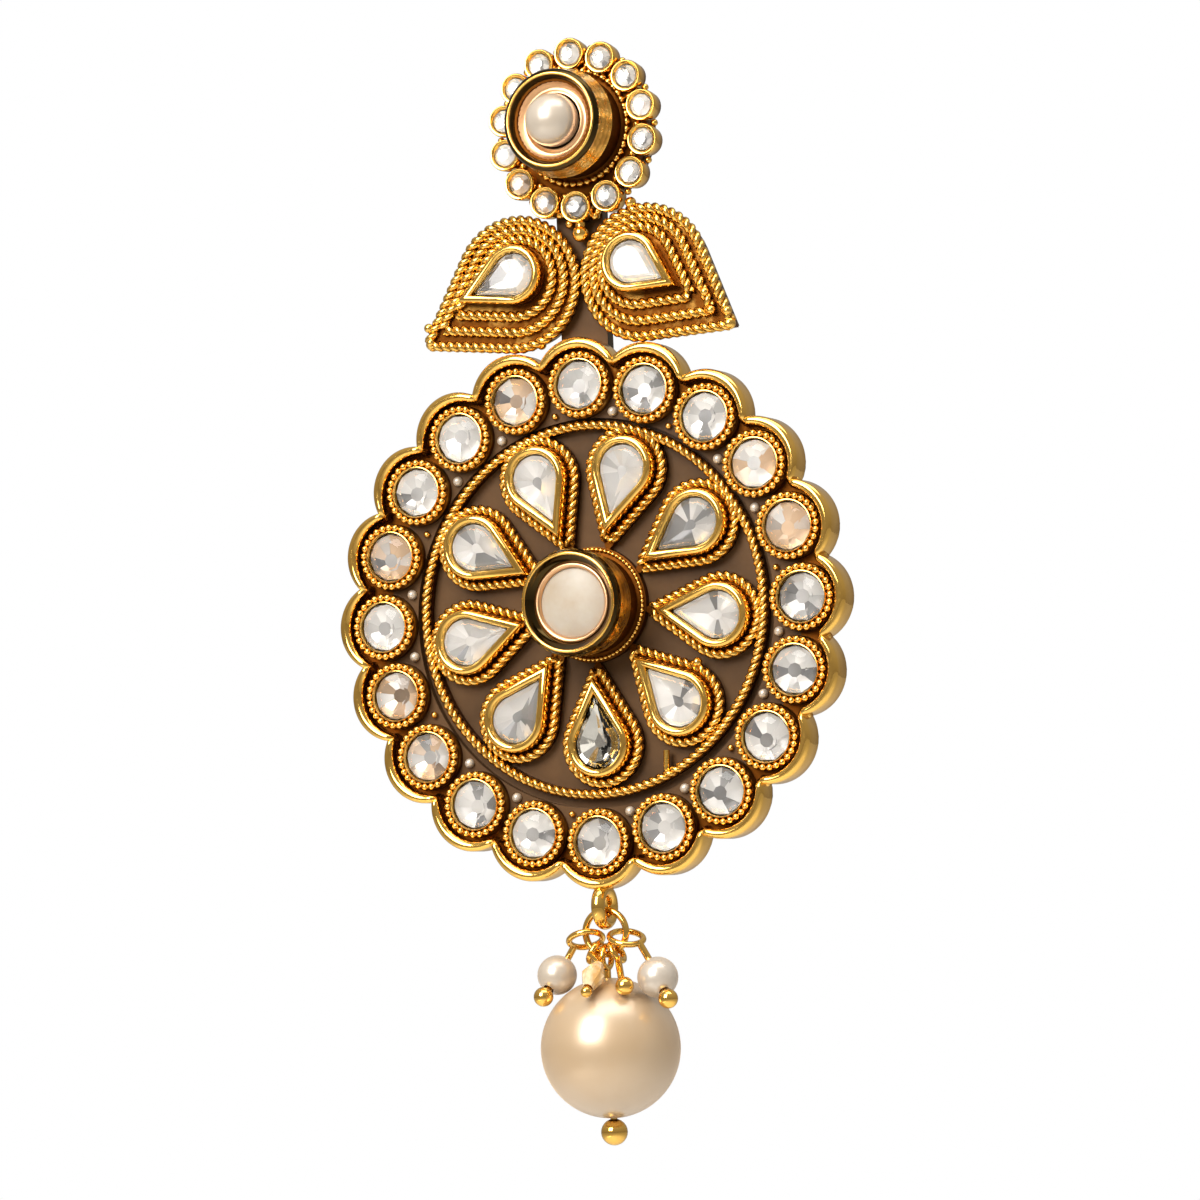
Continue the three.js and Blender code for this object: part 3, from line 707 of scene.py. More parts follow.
def painted_shade_wash_group():
    """Painted shade as a dark wash in the hollows and undersides, uneven at random, with uneven plating and fine
    handling marks.
    """
    tree, given, end = new_group(
        "Painted_shade_wash",
        {"Bright": WHITE, "Dark": WHITE, "Wash": 1.0, "Polish": 0.2},
        {"Colour": "NodeSocketColor", "Roughness": "NodeSocketFloat", "Height": "NodeSocketFloat"},
    )
    broad = surface_noise(tree, 420.0)
    fine = surface_noise(tree, 2600.0, 2.0)
    # The dark colour is painted shade, laid by the painted-shade attribute and made uneven at random; Wash sets how
    # strong it is.
    uneven_painted_shade = calc(tree, "ADD", attribute(tree, "painted_shade"), ramp(tree, broad, 0.3, 0.7, -0.22, 0.22))
    mask = ramp(tree, calc(tree, "MULTIPLY", uneven_painted_shade, given["Wash"]), 0.12, 0.85)
    plating = mix_colour(tree, 1.0, given["Bright"], ramp(tree, broad, 0.25, 0.75, 0.86, 1.08), "MULTIPLY")
    marked = calc(tree, "ADD", given["Polish"], ramp(tree, fine, 0.3, 0.75, -0.04, 0.08))
    feed(tree, end, {
        "Colour": mix_colour(tree, mask, plating, given["Dark"]),
        "Roughness": calc(tree, "ADD", marked, calc(tree, "MULTIPLY", mask, 0.3)),
        "Height": fine,
    })
    return tree


def clouding_group():
    """A colour that clouds softly from light to deep."""
    tree, given, end = new_group(
        "Clouding",
        {"Light": WHITE, "Deep": WHITE, "Scale": 200.0, "Detail": 4.0, "Full": 0.65},
        {"Colour": "NodeSocketColor", "Cloud": "NodeSocketFloat"},
    )
    cloud = surface_noise(tree, given["Scale"], given["Detail"])
    share = ramp(tree, cloud, 0.35, given["Full"])
    feed(tree, end, {"Colour": mix_colour(tree, share, given["Light"], given["Deep"]), "Cloud": cloud})
    return tree


def effect(tree, name, make, values):
    """Places a node group in a material with its own values, and makes the group on its first use."""
    placed = node(tree, "ShaderNodeGroup", node_tree=bpy.data.node_groups.get(name) or make())
    feed(tree, placed, values)
    return placed.outputs


def clouded(tree, shader, light, deep, scale, detail, full=0.65):
    """Gives the shader a clouded colour and returns the clouds."""
    values = {"Light": light, "Deep": deep, "Scale": scale, "Detail": detail, "Full": full}
    clouds = effect(tree, "Clouding", clouding_group, values)
    feed(tree, shader, {"Base Color": clouds["Colour"]})
    return clouds["Cloud"]


def shaded(colour, red, green, blue):
    return (colour[0] * red, colour[1] * green, colour[2] * blue, 1)


def finish_of(name, dress, *values):
    """The material of that name, dressed by a function on its first use."""
    finish = bpy.data.materials.get(name)
    if not finish:
        finish = bpy.data.materials.new(name)
        finish.use_nodes = True
        dress(finish.node_tree, finish.node_tree.nodes["Principled BSDF"], *values)
    return finish


def painted_shade_metal(tree, shader, wash, polish, relief, bright, dark):
    """Metal with the painted shade of its dark-wash group."""
    values = {"Bright": bright, "Dark": dark, "Wash": wash, "Polish": polish}
    wear = effect(tree, "Painted_shade_wash", painted_shade_wash_group, values)
    feed(tree, shader, {"Base Color": wear["Colour"], "Roughness": wear["Roughness"], "Metallic": 1.0})
    add_bump(tree, shader, wear["Height"], relief)


def metal(name):
    wash, polish, relief, *tints = METALS[name]
    return finish_of(name, painted_shade_metal, wash, polish, relief, *(tints or (colours().gilt, colours().painted_shade_colour)))


def metals(count):
    """The first finishes of METALS, for a gilt piece."""
    return [metal(name) for name in list(METALS)[:count]]


def lacquered(tree, shader):
    """Taupe lacquer with an uneven, satin skin and a little dust."""
    taupe = colours().lacquer
    clouded(tree, shader, taupe, shaded(taupe, 0.55, 0.55, 0.55), 160.0, 5.0, 0.7)
    dust = surface_noise(tree, 3200.0, 1.0)
    feed(tree, shader, {"Roughness": ramp(tree, dust, 0.3, 0.7, 0.38, 0.58), "Specular IOR Level": 0.12})
    add_bump(tree, shader, dust, 0.2)


def foiled(tree, shader, tint):
    """Foil behind a cut stone, its facets painted light or dark as painted reflections, tinted on some of them."""
    painted_reflection = attribute(tree, "painted_reflection")
    creases = surface_noise(tree, 1800.0, 2.0)
    pick = ramp(tree, calc(tree, "PINGPONG", painted_reflection, 0.09), 0.03, 0.06)
    stained = mix_colour(tree, pick, colours().foil, tint)
    feed(tree, shader, {
        "Base Color": mix_colour(tree, painted_reflection, stained, (0.2, 0.2, 0.21, 1), "MULTIPLY"),
        "Roughness": ramp(tree, creases, 0.3, 0.7, 0.1, 0.22),
        "Metallic": 0.3,
    })


def clear_glass(tree, shader):
    """Clear cut glass with faint handling marks."""
    marks = surface_noise(tree, 2400.0, 2.0)
    feed(tree, shader, {
        "Base Color": (1, 0.99, 0.97, 1), "Transmission Weight": 1.0, "IOR": 1.5,
        "Roughness": ramp(tree, marks, 0.35, 0.8, 0.0, 0.03),
    })


def amber_glass(tree, shader):
    """Golden glass of the kite bead, a little cloudy."""
    clouded(tree, shader, (0.95, 0.8, 0.55, 1), colours().amber, 900.0, 2.0)
    feed(tree, shader, {"Transmission Weight": 0.4, "Roughness": 0.06, "IOR": 1.5})


def pearly(tree, shader, body):
    """Pearl coating: a clouded body under a soft lustre, with a warm sheen at the edge."""
    cloud = clouded(tree, shader, body, shaded(body, 0.97, 0.92, 0.84), 170.0, 4.0)
    feed(tree, shader, {
        "Roughness": ramp(tree, cloud, 0.3, 0.7, 0.28, 0.34), "Metallic": 0.3,
        "Coat Weight": 1.0, "Coat Roughness": 0.3, "Coat IOR": 1.7,
        "Sheen Weight": 0.5, "Sheen Roughness": 0.4, "Sheen Tint": (1.0, 0.72, 0.45, 1),
    })


def creamy(tree, shader):
    """Cream translucent stone with soft clouds."""
    cream = colours().cabochon
    cloud = clouded(tree, shader, cream, shaded(cream, 0.85, 0.76, 0.66), 260.0, 4.0)
    feed(tree, shader, {
        "Roughness": ramp(tree, cloud, 0.3, 0.7, 0.42, 0.52),
        "Subsurface Weight": 0.4, "Subsurface Radius": (0.002, 0.0014, 0.0009),
    })


def pale_floor(tree, shader):
    path = node(tree, "ShaderNodeLightPath")
    feed(tree, shader, {
        "Base Color": (0.85, 0.84, 0.82, 1), "Roughness": 0.9, "Emission Color": WHITE,
        "Emission Strength": calc(tree, "MULTIPLY", path.outputs["Is Camera Ray"], FLOOR["glow"]),
    })


def lacquer():
    return finish_of("Taupe_lacquer", lacquered)


def white_pearl():
    return finish_of("White_pearl", pearly, colours().white_pearl)


def foil_for(peach):
    if peach:
        return finish_of("Peach_foil", foiled, colours().peach)
    return finish_of("Silver_foil", foiled, colours().foil)


# Stones


def facet_painted_reflection(chance):
    """How dark a painted reflection on the foil is: mostly bright, some grey, a few dark."""
    kind = chance.random()
    if kind < 0.62:
        return chance.uniform(0.0, 0.16)
    if kind < 0.88:
        return chance.uniform(0.25, 0.5)
    return chance.uniform(0.75, 0.95)


def foil_dish(work, rim, inner, low, seed):
    """A foil dish of flat facets round a small flat floor, with a skirt and a back."""
    layer = work.faces.layers.float["painted_reflection"]
    chance = random.Random(seed)
    top = add_row(work, rim)
    floor = add_row(work, inner)
    # Each of the foil's facets gets its own painted reflection.
    shades = [facet_painted_reflection(chance) for _ in rim]
    for shade, face in zip(shades, bridge(work, floor, top, FOIL)):
        face[layer] = shade
    # The small floor gets a painted reflection too.
    middle = work.faces.new(floor)
    middle.material_index = FOIL
    middle[layer] = chance.choice((0.1, 0.55, 0.8, 0.9))
    base = add_row(work, level(rim, low))
    bridge(work, base, top, FOIL)
    work.faces.new(base).material_index = FOIL


def round_gem(work, place, gem, seed):
    """A round stone: a table and a crown of star and kite facets over a foil dish."""
    chance = random.Random(seed)
    turn = chance.random() * pi
    stars = 8
    outer = [polar(gem.radius, angle) for angle in angles(2 * stars, turn)]
    inner = [polar(gem.table, angle) for angle in angles(stars, turn)]
    rings = ((outer, gem.seat), (outer, gem.girdle), (inner, gem.top))
    low, mid, high = (add_row(work, [place @ (p + OUT * height) for p in points]) for points, height in rings)
    work.faces.new(low)
    bridge(work, low, mid)
    for i in range(stars):
        j = (i + 1) % stars
        work.faces.new((high[i], mid[2 * i], mid[2 * i + 1]))
        work.faces.new((high[i], mid[2 * i + 1], high[j]))
        work.faces.new((high[j], mid[2 * i + 1], mid[2 * j]))
    work.faces.new(high)
    off = polar(chance.uniform(0, 0.16) * gem.radius, chance.uniform(0, tau))
    headings = angles(9, turn)
    rim = [place @ polar(gem.radius * 0.95, heading, gem.girdle - 0.12) for heading in headings]
    inner = [place @ (off + polar(gem.radius * 0.3, heading, gem.seat + 0.25)) for heading in headings]
    foil_dish(work, rim, inner, gem.seat + 0.1, seed)


def drop_gem(work, drop, low, seed):
    """A drop-shaped stone: table and bevelled crown over a foil dish of long facets."""
    chance = random.Random(seed)
    bevel = 0.55
    girdle = low + bevel + 0.5
    made = []
    for amount, height in ((-bevel, low), (0, low + bevel), (0, girdle), (-bevel, girdle + bevel)):
        made.append(add_row(work, level(drop_points(grown(drop, amount), 12), height)))
    for lower, upper in zip(made, made[1:]):
        bridge(work, lower, upper)
    work.faces.new(made[0])
    work.faces.new(made[-1])
    rim = level(drop_points(grown(drop, -0.08), 9), girdle - 0.1)
    apex = drop.centre.lerp(drop.tip, chance.uniform(0.02, 0.15))
    inner = level([apex.lerp(point, 0.22) for point in rim], low + 0.3)
    foil_dish(work, rim, inner, low + 0.15, seed)


def add_gem(name, work, backing, nodes=()):
    add_piece(name, work, [finish_of("Cut_glass", clear_glass), backing], nodes, flat=True)


# Settings


def around(work, x, y, ring, radius, height):
    """Small grains set side by side on a circle about a centre in the face's plane."""
    for point in circle(ring, round(pi * ring / radius), height):
        grain(work, Vector((x, y, 0)) + point, radius, sides=8, steps=5)


def milling(count, low, high, seed):
    """Uneven upright cuts in a collet's wall between two heights."""
    chance = random.Random(seed)
    depths = [0.1 * chance.uniform(0.4, 1.0) for _ in range(count)]

    def wobble(angle, height):
        if not low < height < high:
            return 0.0
        share = angle / tau * count + 0.35 * sin(height * 3)
        return -depths[int(share) % count] * (0.5 + 0.5 * cos(tau * share))

    return wobble


def add_collet(work, x, y, collet):
    """A tall collet with a milled wall, a rim painted dark as a painted dark reflection, and a bright wire on its
    ridge.
    """
    place = Matrix.Translation((x, y, 0))
    turned(work, collet.wall, collet.sides, place, MILLED, True, milling(*collet.cuts))
    turned(work, collet.rim, collet.rim_sides, place, PAINTED_DARK, True)
    radius, height = collet.ridge
    wire(work, ring_points((x, y, height), radius, 96), radius=0.14, sides=10, closed=True, finish=POLISHED)


# Pieces


class ORNAMENT_OT_back_plate(bpy.types.Operator):
    """Lacquered plate with gilt edges, cut to the outline of the disc, leaves and flower"""

    bl_idname = "ornament.back_plate"
    bl_label = "Back Plate"

    def execute(self, context):
        neck, foot = PLATE["neck"], PLATE["neck_foot"]
        corners = ((-neck, foot), (neck, foot), (neck, FLOWER_Y), (-neck, FLOWER_Y))
        flower = Vector((FLOWER_X, FLOWER_Y, 0))
        outlines = [
            rim_outline(-PLATE["inset"]),
            [Vector((*corner, 0)) for corner in corners],
            [point + flower for point in circle(PLATE["flower"], 64)],
            *(drop_points(grown(drop_of(*leaf), -PLATE["inset"])) for leaf, _ in LEAVES.values()),
        ]
        blanks = []
        for outline in outlines:
            work = new_work()
            slab(work, outline, -PLATE_THICK, 0)
            bmesh.ops.recalc_face_normals(work, faces=work.faces)
            blanks.append(linked("blank", work))
        for blank in blanks[1:]:
            join = blanks[0].modifiers.new("join", "BOOLEAN")
            join.operation = "UNION"
            join.solver = "EXACT"
            join.object = blank
        shaped = blanks[0].evaluated_get(context.evaluated_depsgraph_get())
        work = bmesh.new()
        work.from_mesh(shaped.to_mesh())
        for blank in blanks:
            bpy.data.objects.remove(blank)
        # The plate's side faces take the gilt painted dark.
        for face in work.faces:
            face.material_index = 0 if abs(face.normal.z) > 0.5 else 1
        finishes = [lacquer(), metal("Painted_dark_gilt")]
        piece = add_piece("lacquered_plate", work, finishes, ["back_plate"], crease=40)
        ease = piece.modifiers.new("ease", "BEVEL")
        ease.width = 0.00012
        ease.segments = 2
        ease.limit_method = "ANGLE"
        ease.angle_limit = radians(60)
        return {"FINISHED"}


class ORNAMENT_OT_scallop_rim(bpy.types.Operator):
    """Polished scallop lips, grained bezels and the loop"""

    bl_idname = "ornament.scallop_rim"
    bl_label = "Scallop Rim"

    def lip(self, work, heading):
        """One scallop, thinner toward its notches and dipping past them under its neighbours."""
        centre = polar(LIP_RING, heading)
        notch = polar(rim_radius(pi / STONES + FIRST_STONE), pi / STONES)
        half = atan2(notch.y, notch.x - LIP_RING)
        past = radians(12)
        steps = 44
        rows = []
        for i in range(steps + 1):
            angle = heading - half - past + 2 * (half + past) * i / steps
            beyond = max(0.0, abs(angle - heading) - half) / past
            aside = min(1.0, abs(angle - heading) / half)
            width = LIP_WIDTH * (1.15 - 0.4 * aside**2) * (1 - 0.45 * beyond)
            top = LIP_TOP - 0.95 * beyond**1.5
            edge = top - width / 2
            # Third values are painted shade: dark at the foot and on the inner wall, none on the top, and more where
            # the lip dips under its neighbours.
            section = [
                (0, SEAT, 0.5), (0, 1.0, 0.15), (0, edge, 0.0), *rounded(width, top),
                (-width, edge, 0.15), (-width, 1.3, 0.7), (-width, SEAT, 1.0),
            ]
            outward = polar(1, angle)
            ring = [centre + outward * (LIP_RADIUS + offset) + OUT * height for offset, height, _ in section]
            rows.append((ring, [min(1.0, painted_shade + 0.5 * beyond) for _, _, painted_shade in section]))
        loft(work, rows, finish=POLISHED)

    def floor(self, work):
        outer = rim_outline(-LIP_WIDTH / 2)
        middle, inner = (
            [polar(radius, atan2(p.y, p.x)) for p in outer] for radius in (LACQUER_EDGE, RIM_INNER)
        )
        # The floor rings carry full painted shade.
        for near, far, finish in ((inner, middle, RIM_LACQUER), (middle, outer, PLAIN)):
            rings = ((near, SEAT), (far, SEAT), (far, RIM_TOP), (near, RIM_TOP))
            loft(work, [(level(points, height), 1.0) for points, height in rings], True, finish=finish)

    def execute(self, context):
        work = new_work()
        self.floor(work)
        for k, heading in enumerate(angles(STONES, FIRST_STONE)):
            self.lip(work, heading)
            centre = polar(STONE_RING, heading)
            turned(work, RIM_BEZEL, 48, Matrix.Translation(centre), closed=True)
            for angle in angles(sizes().grains, k):
                spot = centre + polar(BEZEL_GRAINS["ring"], angle, BEZEL_GRAINS["height"])
                grain(work, spot, sizes().grain_radius * MM)
            between = heading + pi / STONES
            grain(work, polar(NOTCH_GRAINS["ring"], between, NOTCH_GRAINS["height"]), NOTCH_GRAINS["radius"])
            spot = polar(DOTS["ring"], between, DOTS["height"])
            if k % 3:
                grain(work, spot, DOTS["cream"], finish=RIM_CREAM, **FINE)
            else:
                grain(work, spot, DOTS["gilt"])
        line = ring_points((0, LOOP["y"], LOOP["z"]), LOOP["radius"], 40, Y_AXIS, OUT)
        wire(work, line, LOOP["wire"], sides=18, closed=True, finish=POLISHED)
        add_piece("gilt_rim", work, [*metals(2), lacquer(), white_pearl()], ["scallop_rim"])
        return {"FINISHED"}


class ORNAMENT_OT_rim_stones(bpy.types.Operator):
    """Round cut stones over foil, set round the rim"""

    bl_idname = "ornament.rim_stones"
    bl_label = "Rim Stones"

    def execute(self, context):
        for k, heading in enumerate(angles(STONES, FIRST_STONE)):
            work = new_work()
            round_gem(work, Matrix.Translation(polar(STONE_RING, heading)), RIM_GEM, RIM_SEED + k)
            number = f"{k + 1:02d}"
            add_gem(f"rim_stone_{number}", work, foil_for(k + 1 in PEACH_STONES), [f"round_stone_{number}"])
        return {"FINISHED"}


class ORNAMENT_OT_petal_rosette(bpy.types.Operator):
    """Nine drop bezels with twisted surrounds, the twisted ring round them and the tall milled collet"""

    bl_idname = "ornament.petal_rosette"
    bl_label = "Petal Rosette"

    def execute(self, context):
        work = new_work()
        for k in range(PETALS):
            drop = petal_drop(k)
            # The floor under each petal carries full painted shade.
            slab(work, drop_points(grown(drop, PETAL_FLOOR)), SEAT, high=0.6, painted_shade=1.0)
            drop_bezel(work, grown(drop, PETAL_BEZEL), wall=0.72, high=2.3)
            rope(work, drop_line(grown(drop, PETAL_ROPE), trim=0.5, height=0.82), radius=0.46, start=k)
        add_collet(work, 0, ROSETTE_Y, CENTRE_COLLET)
        turned(work, CABOCHON_SEAT, 96, Matrix.Translation((0, ROSETTE_Y, 0)), ROSE, True)
        around(work, 0, ROSETTE_Y, ring=4.75, radius=0.2, height=0.95)
        # A stray ball and a stub of wire, as solder leaves them.
        grain(work, (9.7, -4.9, 1.1), radius=0.45, **FINE)
        wire(work, resampled([(6.35, -12.2, 0.8), (6.28, -14.1, 0.8)], spacing=0.4), radius=0.28, sides=10)
        line = ring_points((0, ROPE_RING["y"], ROPE_RING["height"]), ROPE_RING["radius"], 200)
        rope(work, line, ROPE_RING["wire"], True)
        turned(work, ROPE_RING_BASE, 160, Matrix.Translation((0, ROPE_RING["y"], 0)), closed=True)
        add_piece("gilt_rosette", work, metals(5), ["petal_rosette"])
        return {"FINISHED"}


class ORNAMENT_OT_petal_stones(bpy.types.Operator):
    """Drop-shaped cut stones over foil"""

    bl_idname = "ornament.petal_stones"
    bl_label = "Petal Stones"

    def execute(self, context):
        for k in range(PETALS):
            work = new_work()
            drop_gem(work, grown(petal_drop(k), -STONE_INSET), low=0.75, seed=PETAL_SEED + k)
            backing = metal("Bare_foil") if k == BARE_PETAL else foil_for(False)
            add_gem(f"petal_gem_{k + 1}", work, backing, [f"petal_stone_{k + 1}"])
        return {"FINISHED"}


class ORNAMENT_OT_cabochon(bpy.types.Operator):
    """Flat cream cabochon in the centre collet"""

    bl_idname = "ornament.cabochon"
    bl_label = "Centre Cabochon"

    def execute(self, context):
        work = new_work()
        radius, girdle, rise = CABOCHON.values()
        profile = [(3.15, 4.3, 0), (3.15, 4.6, 0), (radius, girdle, 0)]
        for i in range(1, 12):
            reach = radius * (1 - i / 12)
            profile.append((reach, girdle + rise * (1 - (reach / radius) ** 2.4), 0))
        turned(work, profile, 72, Matrix.Translation((0, ROSETTE_Y, 0)))
        add_piece("cream_cabochon", work, [finish_of("Cream_cabochon", creamy)], ["centre_cabochon"])
        return {"FINISHED"}


class ORNAMENT_OT_top_flower(bpy.types.Operator):
    """Small stone cups round a beaded foot, a milled collet and its pearl"""

    bl_idname = "ornament.top_flower"
    bl_label = "Top Flower"

    def execute(self, context):
        middle = Matrix.Translation((FLOWER_X, FLOWER_COLLET_Y, 0))
        centre = Matrix.Translation((FLOWER_X, FLOWER_Y, 0))
        headings = angles(CUPS, pi / 2)
        places = [centre @ Matrix.Translation(polar(CUP_RING, heading)) for heading in headings]
        work = new_work()
        add_collet(work, FLOWER_X, FLOWER_COLLET_Y, FLOWER_COLLET)
        around(work, FLOWER_X, FLOWER_COLLET_Y, ring=4.95, radius=0.34, height=1.3)
        for heading, place in zip(headings, places):
            turned(work, CUP, 32, place, POLISHED)
            between = heading + pi / CUPS
            grain(work, centre @ polar(5.75, between, 1.0), 0.36)
            grain(work, centre @ polar(7.3, between, 0.75), 0.32)
        join = Vector((FLOWER_X, 32.9, 0.95))
        grain(work, join, radius=0.75, sides=16, steps=10, finish=POLISHED)
        wire(work, resampled([join, (FLOWER_X, 36.2, 0.95)], spacing=0.5), radius=0.45, sides=10)
        add_piece("gilt_flower", work, metals(4), ["top_flower"])
        for k, place in enumerate(places):
            work = new_work()
            round_gem(work, place, CUP_GEM, CUP_SEED + k)
            add_gem(f"cup_stone_{k + 1:02d}", work, foil_for(k in PEACH_CUPS))
        work = new_work()
        turned(work, PEARL_CUP, 96, middle, closed=True)
        add_piece("pearl_cup", work, [metal("Rose_gilt_cup")])
        work = new_work()
        globe(work, middle @ Matrix.Translation((0, 0, 6)), radius=2.3)
        add_piece("flower_bead", work, [white_pearl()], ["flower_pearl"])
        return {"FINISHED"}


class ORNAMENT_OT_leaves(bpy.types.Operator):
    """Two leaves of twisted wire, each with its bezel, drop stone and grains"""

    bl_idname = "ornament.leaves"
    bl_label = "Leaves"

    def execute(self, context):
        for side, rows in LEAVES.items():
            work = new_work()
            outer, stone = (drop_of(*row) for row in rows)
            floor = [clear_of_rim(point, 0.3) for point in drop_points(grown(outer, -0.15), 60)]
            # The leaf's floor carries nearly full painted shade.
            slab(work, floor, SEAT, high=0.7, painted_shade=0.9)
            drop_bezel(work, grown(stone, 0.1), wall=0.68, high=2.4)
            for share in ROPE_PLACES:
                line = drop_line(mixed(stone, outer, share), trim=0.35, height=0.92)
                line = [clear_of_rim(point, LEAF_ROPE + 0.12) for point in line]
                rope(work, line, LEAF_ROPE, start=share * 20)
            tip = outer.tip.lerp(outer.centre, 0.08)
            for x, y, z, radius in ((tip.x, tip.y, 0.95, 0.55), *LEAF_GRAINS[side]):
                grain(work, (x, y, z), radius, **FINE)
            add_piece(f"gilt_leaf_{side}", work, metals(2), [f"leaf_{side}"])
            work = new_work()
            drop_gem(work, grown(stone, -STONE_INSET), low=0.85, seed=LEAF_SEED + len(side))
            add_gem(f"leaf_gem_{side}", work, foil_for(False), [f"leaf_stone_{side}"])
        return {"FINISHED"}


class ORNAMENT_OT_hair_pin(bpy.types.Operator):
    """Plain bent hair pin behind the plate, with the solder that holds it"""

    bl_idname = "ornament.hair_pin"
    bl_label = "Hair Pin"

    def execute(self, context):
        near = -PLATE_THICK - PIN["gap"] - PIN["wire"]
        far = near - PIN["depth"] + PIN["wire"]
        half = [(5, -20, far), (5, 0, far), (5, 11, far), (5, 15, (near + far) / 2), (4, 14, near), (1.5, 14, near)]
        right = [Vector(p) for p in half]
        left = [Vector((-p.x, p.y, p.z)) for p in reversed(right)]
        work = new_work()
        line = resampled(catmull_rom(right + left, per_span=24), spacing=0.35)
        wire(work, line, PIN["wire"], sides=16, taper=lambda t: min(1.0, 0.35 + min(t, 1 - t) * 30) ** 0.5)
        add_piece("gilt_hair_pin", work, [metal("Polished_gilt")], ["hair_pin"])
        work = new_work()
        for x in (-2.4, 2.4):
            place = Matrix.Translation((x, HAIR_SEAT_Y, -1.6)) @ Matrix.Diagonal((1.25, 1.0, 0.62, 1))
            globe(work, place, 1.0, sides=24, steps=14)
        add_piece("pin_solder", work, [metal("Shade_painted_gilt")])
        return {"FINISHED"}


def eye_on_ring(eye, target):
    """The eye's circle round the jump ring's wire, and the place on it that faces the target."""
    *degrees, radius, play = eye
    at, lean, turn = (radians(value) for value in degrees)
    outward = polar(1, at)
    along = Vector((-outward.y, outward.x, 0))
    hang = outward * cos(lean) + OUT * sin(lean)
    across = along * cos(turn) + hang.cross(along) * sin(turn)
    centre = Vector((0, RING["y"], LOOP["z"])) + outward * RING["radius"]
    centre += hang * (radius - EYE_WIRE - RING["wire"] - play)
    normal = hang.cross(across)
    flat = (target - centre) - normal * (target - centre).dot(normal)
    foot = centre + flat.normalized() * radius
    return ring_points(centre, radius, 48, hang, across), foot


def along(way):
    return Vector(way).normalized().to_track_quat("Z", "Y").to_matrix().to_4x4()


class ORNAMENT_OT_pearl_drop(bpy.types.Operator):
    """Jump ring, eye pin with its large pearl, and the small dangles"""

    bl_idname = "ornament.pearl_drop"
    bl_label = "Pearl Drop"

    def pin(self, name, eye, places, ball):
        work = new_work()
        line, foot = eye_on_ring(eye, places[0])
        wire(work, line, EYE_WIRE, closed=True)
        wire(work, resampled([foot, *places], spacing=0.2), STEM_WIRE)
        grain(work, places[-1], ball, sides=24, steps=16)
        add_piece(f"gilt_{name}", work, [metal("Polished_gilt")], [name], body="pearl_drop")

    def bead(self, side, row, place):
        work = new_work()
        if row["bead"] == "pearl":
            globe(work, place, row["half"], hole=0.47, sides=48, steps=30)
            add_piece(f"small_pearl_{side}", work, [white_pearl()], [f"{side}_pearl"], "pearl_drop")
        else:
            turned(work, KITE, 10, place, closed=True)
            amber = finish_of("Amber_glass", amber_glass)
            add_piece("kite_bead", work, [amber], ["front_bead"], "pearl_drop", flat=True)

    def execute(self, context):
        work = new_work()
        wire(work, ring_points((0, RING["y"], LOOP["z"]), RING["radius"], 64), RING["wire"], closed=True)
        add_piece("gilt_jump_ring", work, [metal("Polished_gilt")], ["jump_ring"], body="drop_ring")
        self.pin("drop_pin", DROP_PIN["eye"], [Vector((0, DROP_PIN["end"], LOOP["z"]))], DROP_PIN["ball"])
        work = new_work()
        place = Matrix.Translation((0, MAIN_PEARL["y"], LOOP["z"])) @ along(Y_AXIS)
        globe(work, place, MAIN_PEARL["radius"], MAIN_PEARL["hole"], sides=96, steps=64)
        cream = finish_of("Cream_pearl", pearly, colours().pearl)
        add_piece("large_pearl", work, [cream], ["main_pearl"], "pearl_drop")
        for side, row in DANGLES.items():
            way = Vector(row["way"]).normalized()
            at = Vector(row["at"])
            neck = at - way * (row["half"] + 0.35)
            tip = at + way * (row["half"] + row["ball"]) if row["bead"] else at
            self.pin(f"{side}_pin", row["eye"], [neck, tip], row["ball"])
            if row["bead"]:
                self.bead(side, row, Matrix.Translation(at) @ along(way))
        return {"FINISHED"}


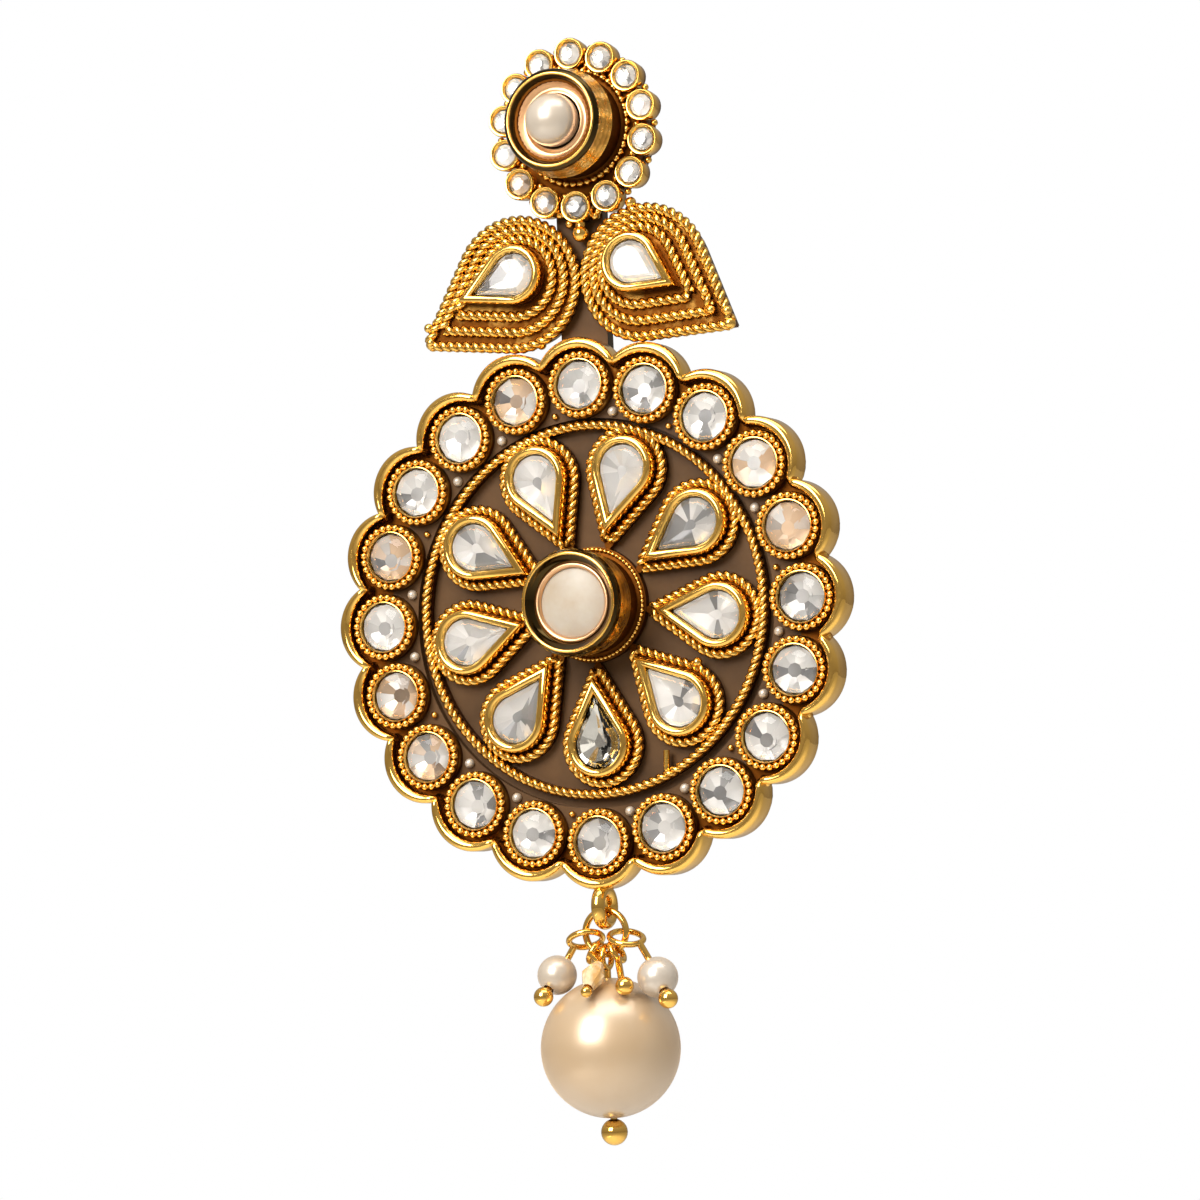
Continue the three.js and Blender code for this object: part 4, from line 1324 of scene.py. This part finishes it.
class ORNAMENT_OT_stage(bpy.types.Operator):
    """Pale floor, soft studio lights and the camera"""

    bl_idname = "ornament.stage"
    bl_label = "Stage"

    def world(self, scene):
        """White behind the object, and a soft sky that only lights it."""
        scene.world = bpy.data.worlds.new("Studio")
        scene.world.use_nodes = True
        tree = scene.world.node_tree
        tree.nodes.clear()
        coords = node(tree, "ShaderNodeTexCoord")
        split = node(tree, "ShaderNodeSeparateXYZ")
        feed(tree, split, {0: coords.outputs["Generated"]})
        sky = mix_colour(tree, ramp(tree, split.outputs["Z"], -0.7, 0.9), SKY_LOW, SKY_HIGH)
        lit, shown = (node(tree, "ShaderNodeBackground") for _ in range(2))
        feed(tree, lit, {"Color": sky})
        feed(tree, shown, {"Color": WHITE})
        path = node(tree, "ShaderNodeLightPath")
        mix = node(tree, "ShaderNodeMixShader")
        feed(tree, mix, {0: path.outputs["Is Camera Ray"], 1: lit.outputs[0], 2: shown.outputs[0]})
        feed(tree, node(tree, "ShaderNodeOutputWorld"), {"Surface": mix.outputs[0]})

    def floor(self):
        work = new_work()
        fan(work, add_row(work, circle(FLOOR["radius"], 96)), Vector())
        work.transform(Matrix.Translation((0, 0, FLOOR["height"])) @ Matrix.Scale(1 / MM, 4))
        floor = linked("floor", work)
        floor.data.materials.append(finish_of("Pale_floor", pale_floor))

    def camera(self, scene, aim):
        """Makes the camera and returns its axes before its roll."""
        azimuth, elevation = radians(CAMERA["azimuth"]), radians(CAMERA["elevation"])
        back = Vector((sin(azimuth) * cos(elevation), -cos(azimuth) * cos(elevation), sin(elevation)))
        camera = bpy.data.objects.new("camera", bpy.data.cameras.new("camera"))
        camera.data.lens = CAMERA["lens"]
        camera.data.sensor_width = CAMERA["sensor"]
        camera.data.shift_x = CAMERA["shift_x"]
        camera.data.shift_y = CAMERA["shift_y"]
        camera.data.clip_start = 0.01
        camera.location = aim + back * sizes().camera_distance
        straight = (-back).to_track_quat("-Z", "Y")
        camera.rotation_mode = "QUATERNION"
        camera.rotation_quaternion = straight @ Matrix.Rotation(radians(CAMERA["roll"]), 3, "Z").to_quaternion()
        scene.collection.objects.link(camera)
        scene.camera = camera
        return [straight @ axis for axis in (X_AXIS, Y_AXIS, OUT)]

    def light(self, scene, aim, axes, name, way, size, power, colour, glints):
        right, up, back = axes
        lamp = bpy.data.lights.new(name, "AREA")
        lamp.shape = "RECTANGLE"
        lamp.size, lamp.size_y = size
        lamp.energy = power
        lamp.color = colour
        place = (right * way[0] + up * way[1] + back * way[2]).normalized()
        holder = bpy.data.objects.new(name, lamp)
        holder.location = aim + place * LIGHT_DISTANCE
        holder.rotation_mode = "QUATERNION"
        holder.rotation_quaternion = (-place).to_track_quat("-Z", "Y")
        holder.visible_glossy = glints
        scene.collection.objects.link(holder)

    def execute(self, context):
        scene = context.scene
        scene.view_settings.view_transform = "Standard"
        self.world(scene)
        self.floor()
        aim = FACE @ Vector()
        axes = self.camera(scene, aim)
        for row in LIGHTS:
            self.light(scene, aim, axes, *row)
        return {"FINISHED"}


PIECE_OPERATORS = (
    ORNAMENT_OT_back_plate,
    ORNAMENT_OT_scallop_rim,
    ORNAMENT_OT_rim_stones,
    ORNAMENT_OT_petal_rosette,
    ORNAMENT_OT_petal_stones,
    ORNAMENT_OT_cabochon,
    ORNAMENT_OT_top_flower,
    ORNAMENT_OT_leaves,
    ORNAMENT_OT_hair_pin,
    ORNAMENT_OT_pearl_drop,
    ORNAMENT_OT_stage,
)


class ORNAMENT_PT_panel(bpy.types.Panel):
    """Sizes, colours and pieces of the braid ornament"""

    bl_idname = "ORNAMENT_PT_panel"
    bl_label = "Braid Ornament"
    bl_space_type = "VIEW_3D"
    bl_region_type = "UI"
    bl_category = "Ornament"

    def draw(self, context):
        for group in (context.scene.ornament_sizes, context.scene.ornament_colours):
            box = self.layout.box()
            for name in group.__annotations__:
                box.prop(group, name)
        for operator in PIECE_OPERATORS:
            self.layout.operator(operator.bl_idname)


CLASSES = (OrnamentSizes, OrnamentColours, *PIECE_OPERATORS, ORNAMENT_PT_panel)


def register():
    for cls in CLASSES:
        bpy.utils.register_class(cls)
    bpy.types.Scene.ornament_sizes = PointerProperty(type=OrnamentSizes)
    bpy.types.Scene.ornament_colours = PointerProperty(type=OrnamentColours)


def unregister():
    del bpy.types.Scene.ornament_colours
    del bpy.types.Scene.ornament_sizes
    for cls in reversed(CLASSES):
        bpy.utils.unregister_class(cls)


def main():
    register()
    for operator in PIECE_OPERATORS:
        group, name = operator.bl_idname.split(".")
        getattr(getattr(bpy.ops, group), name)()


if __name__ == "__main__":
    main()
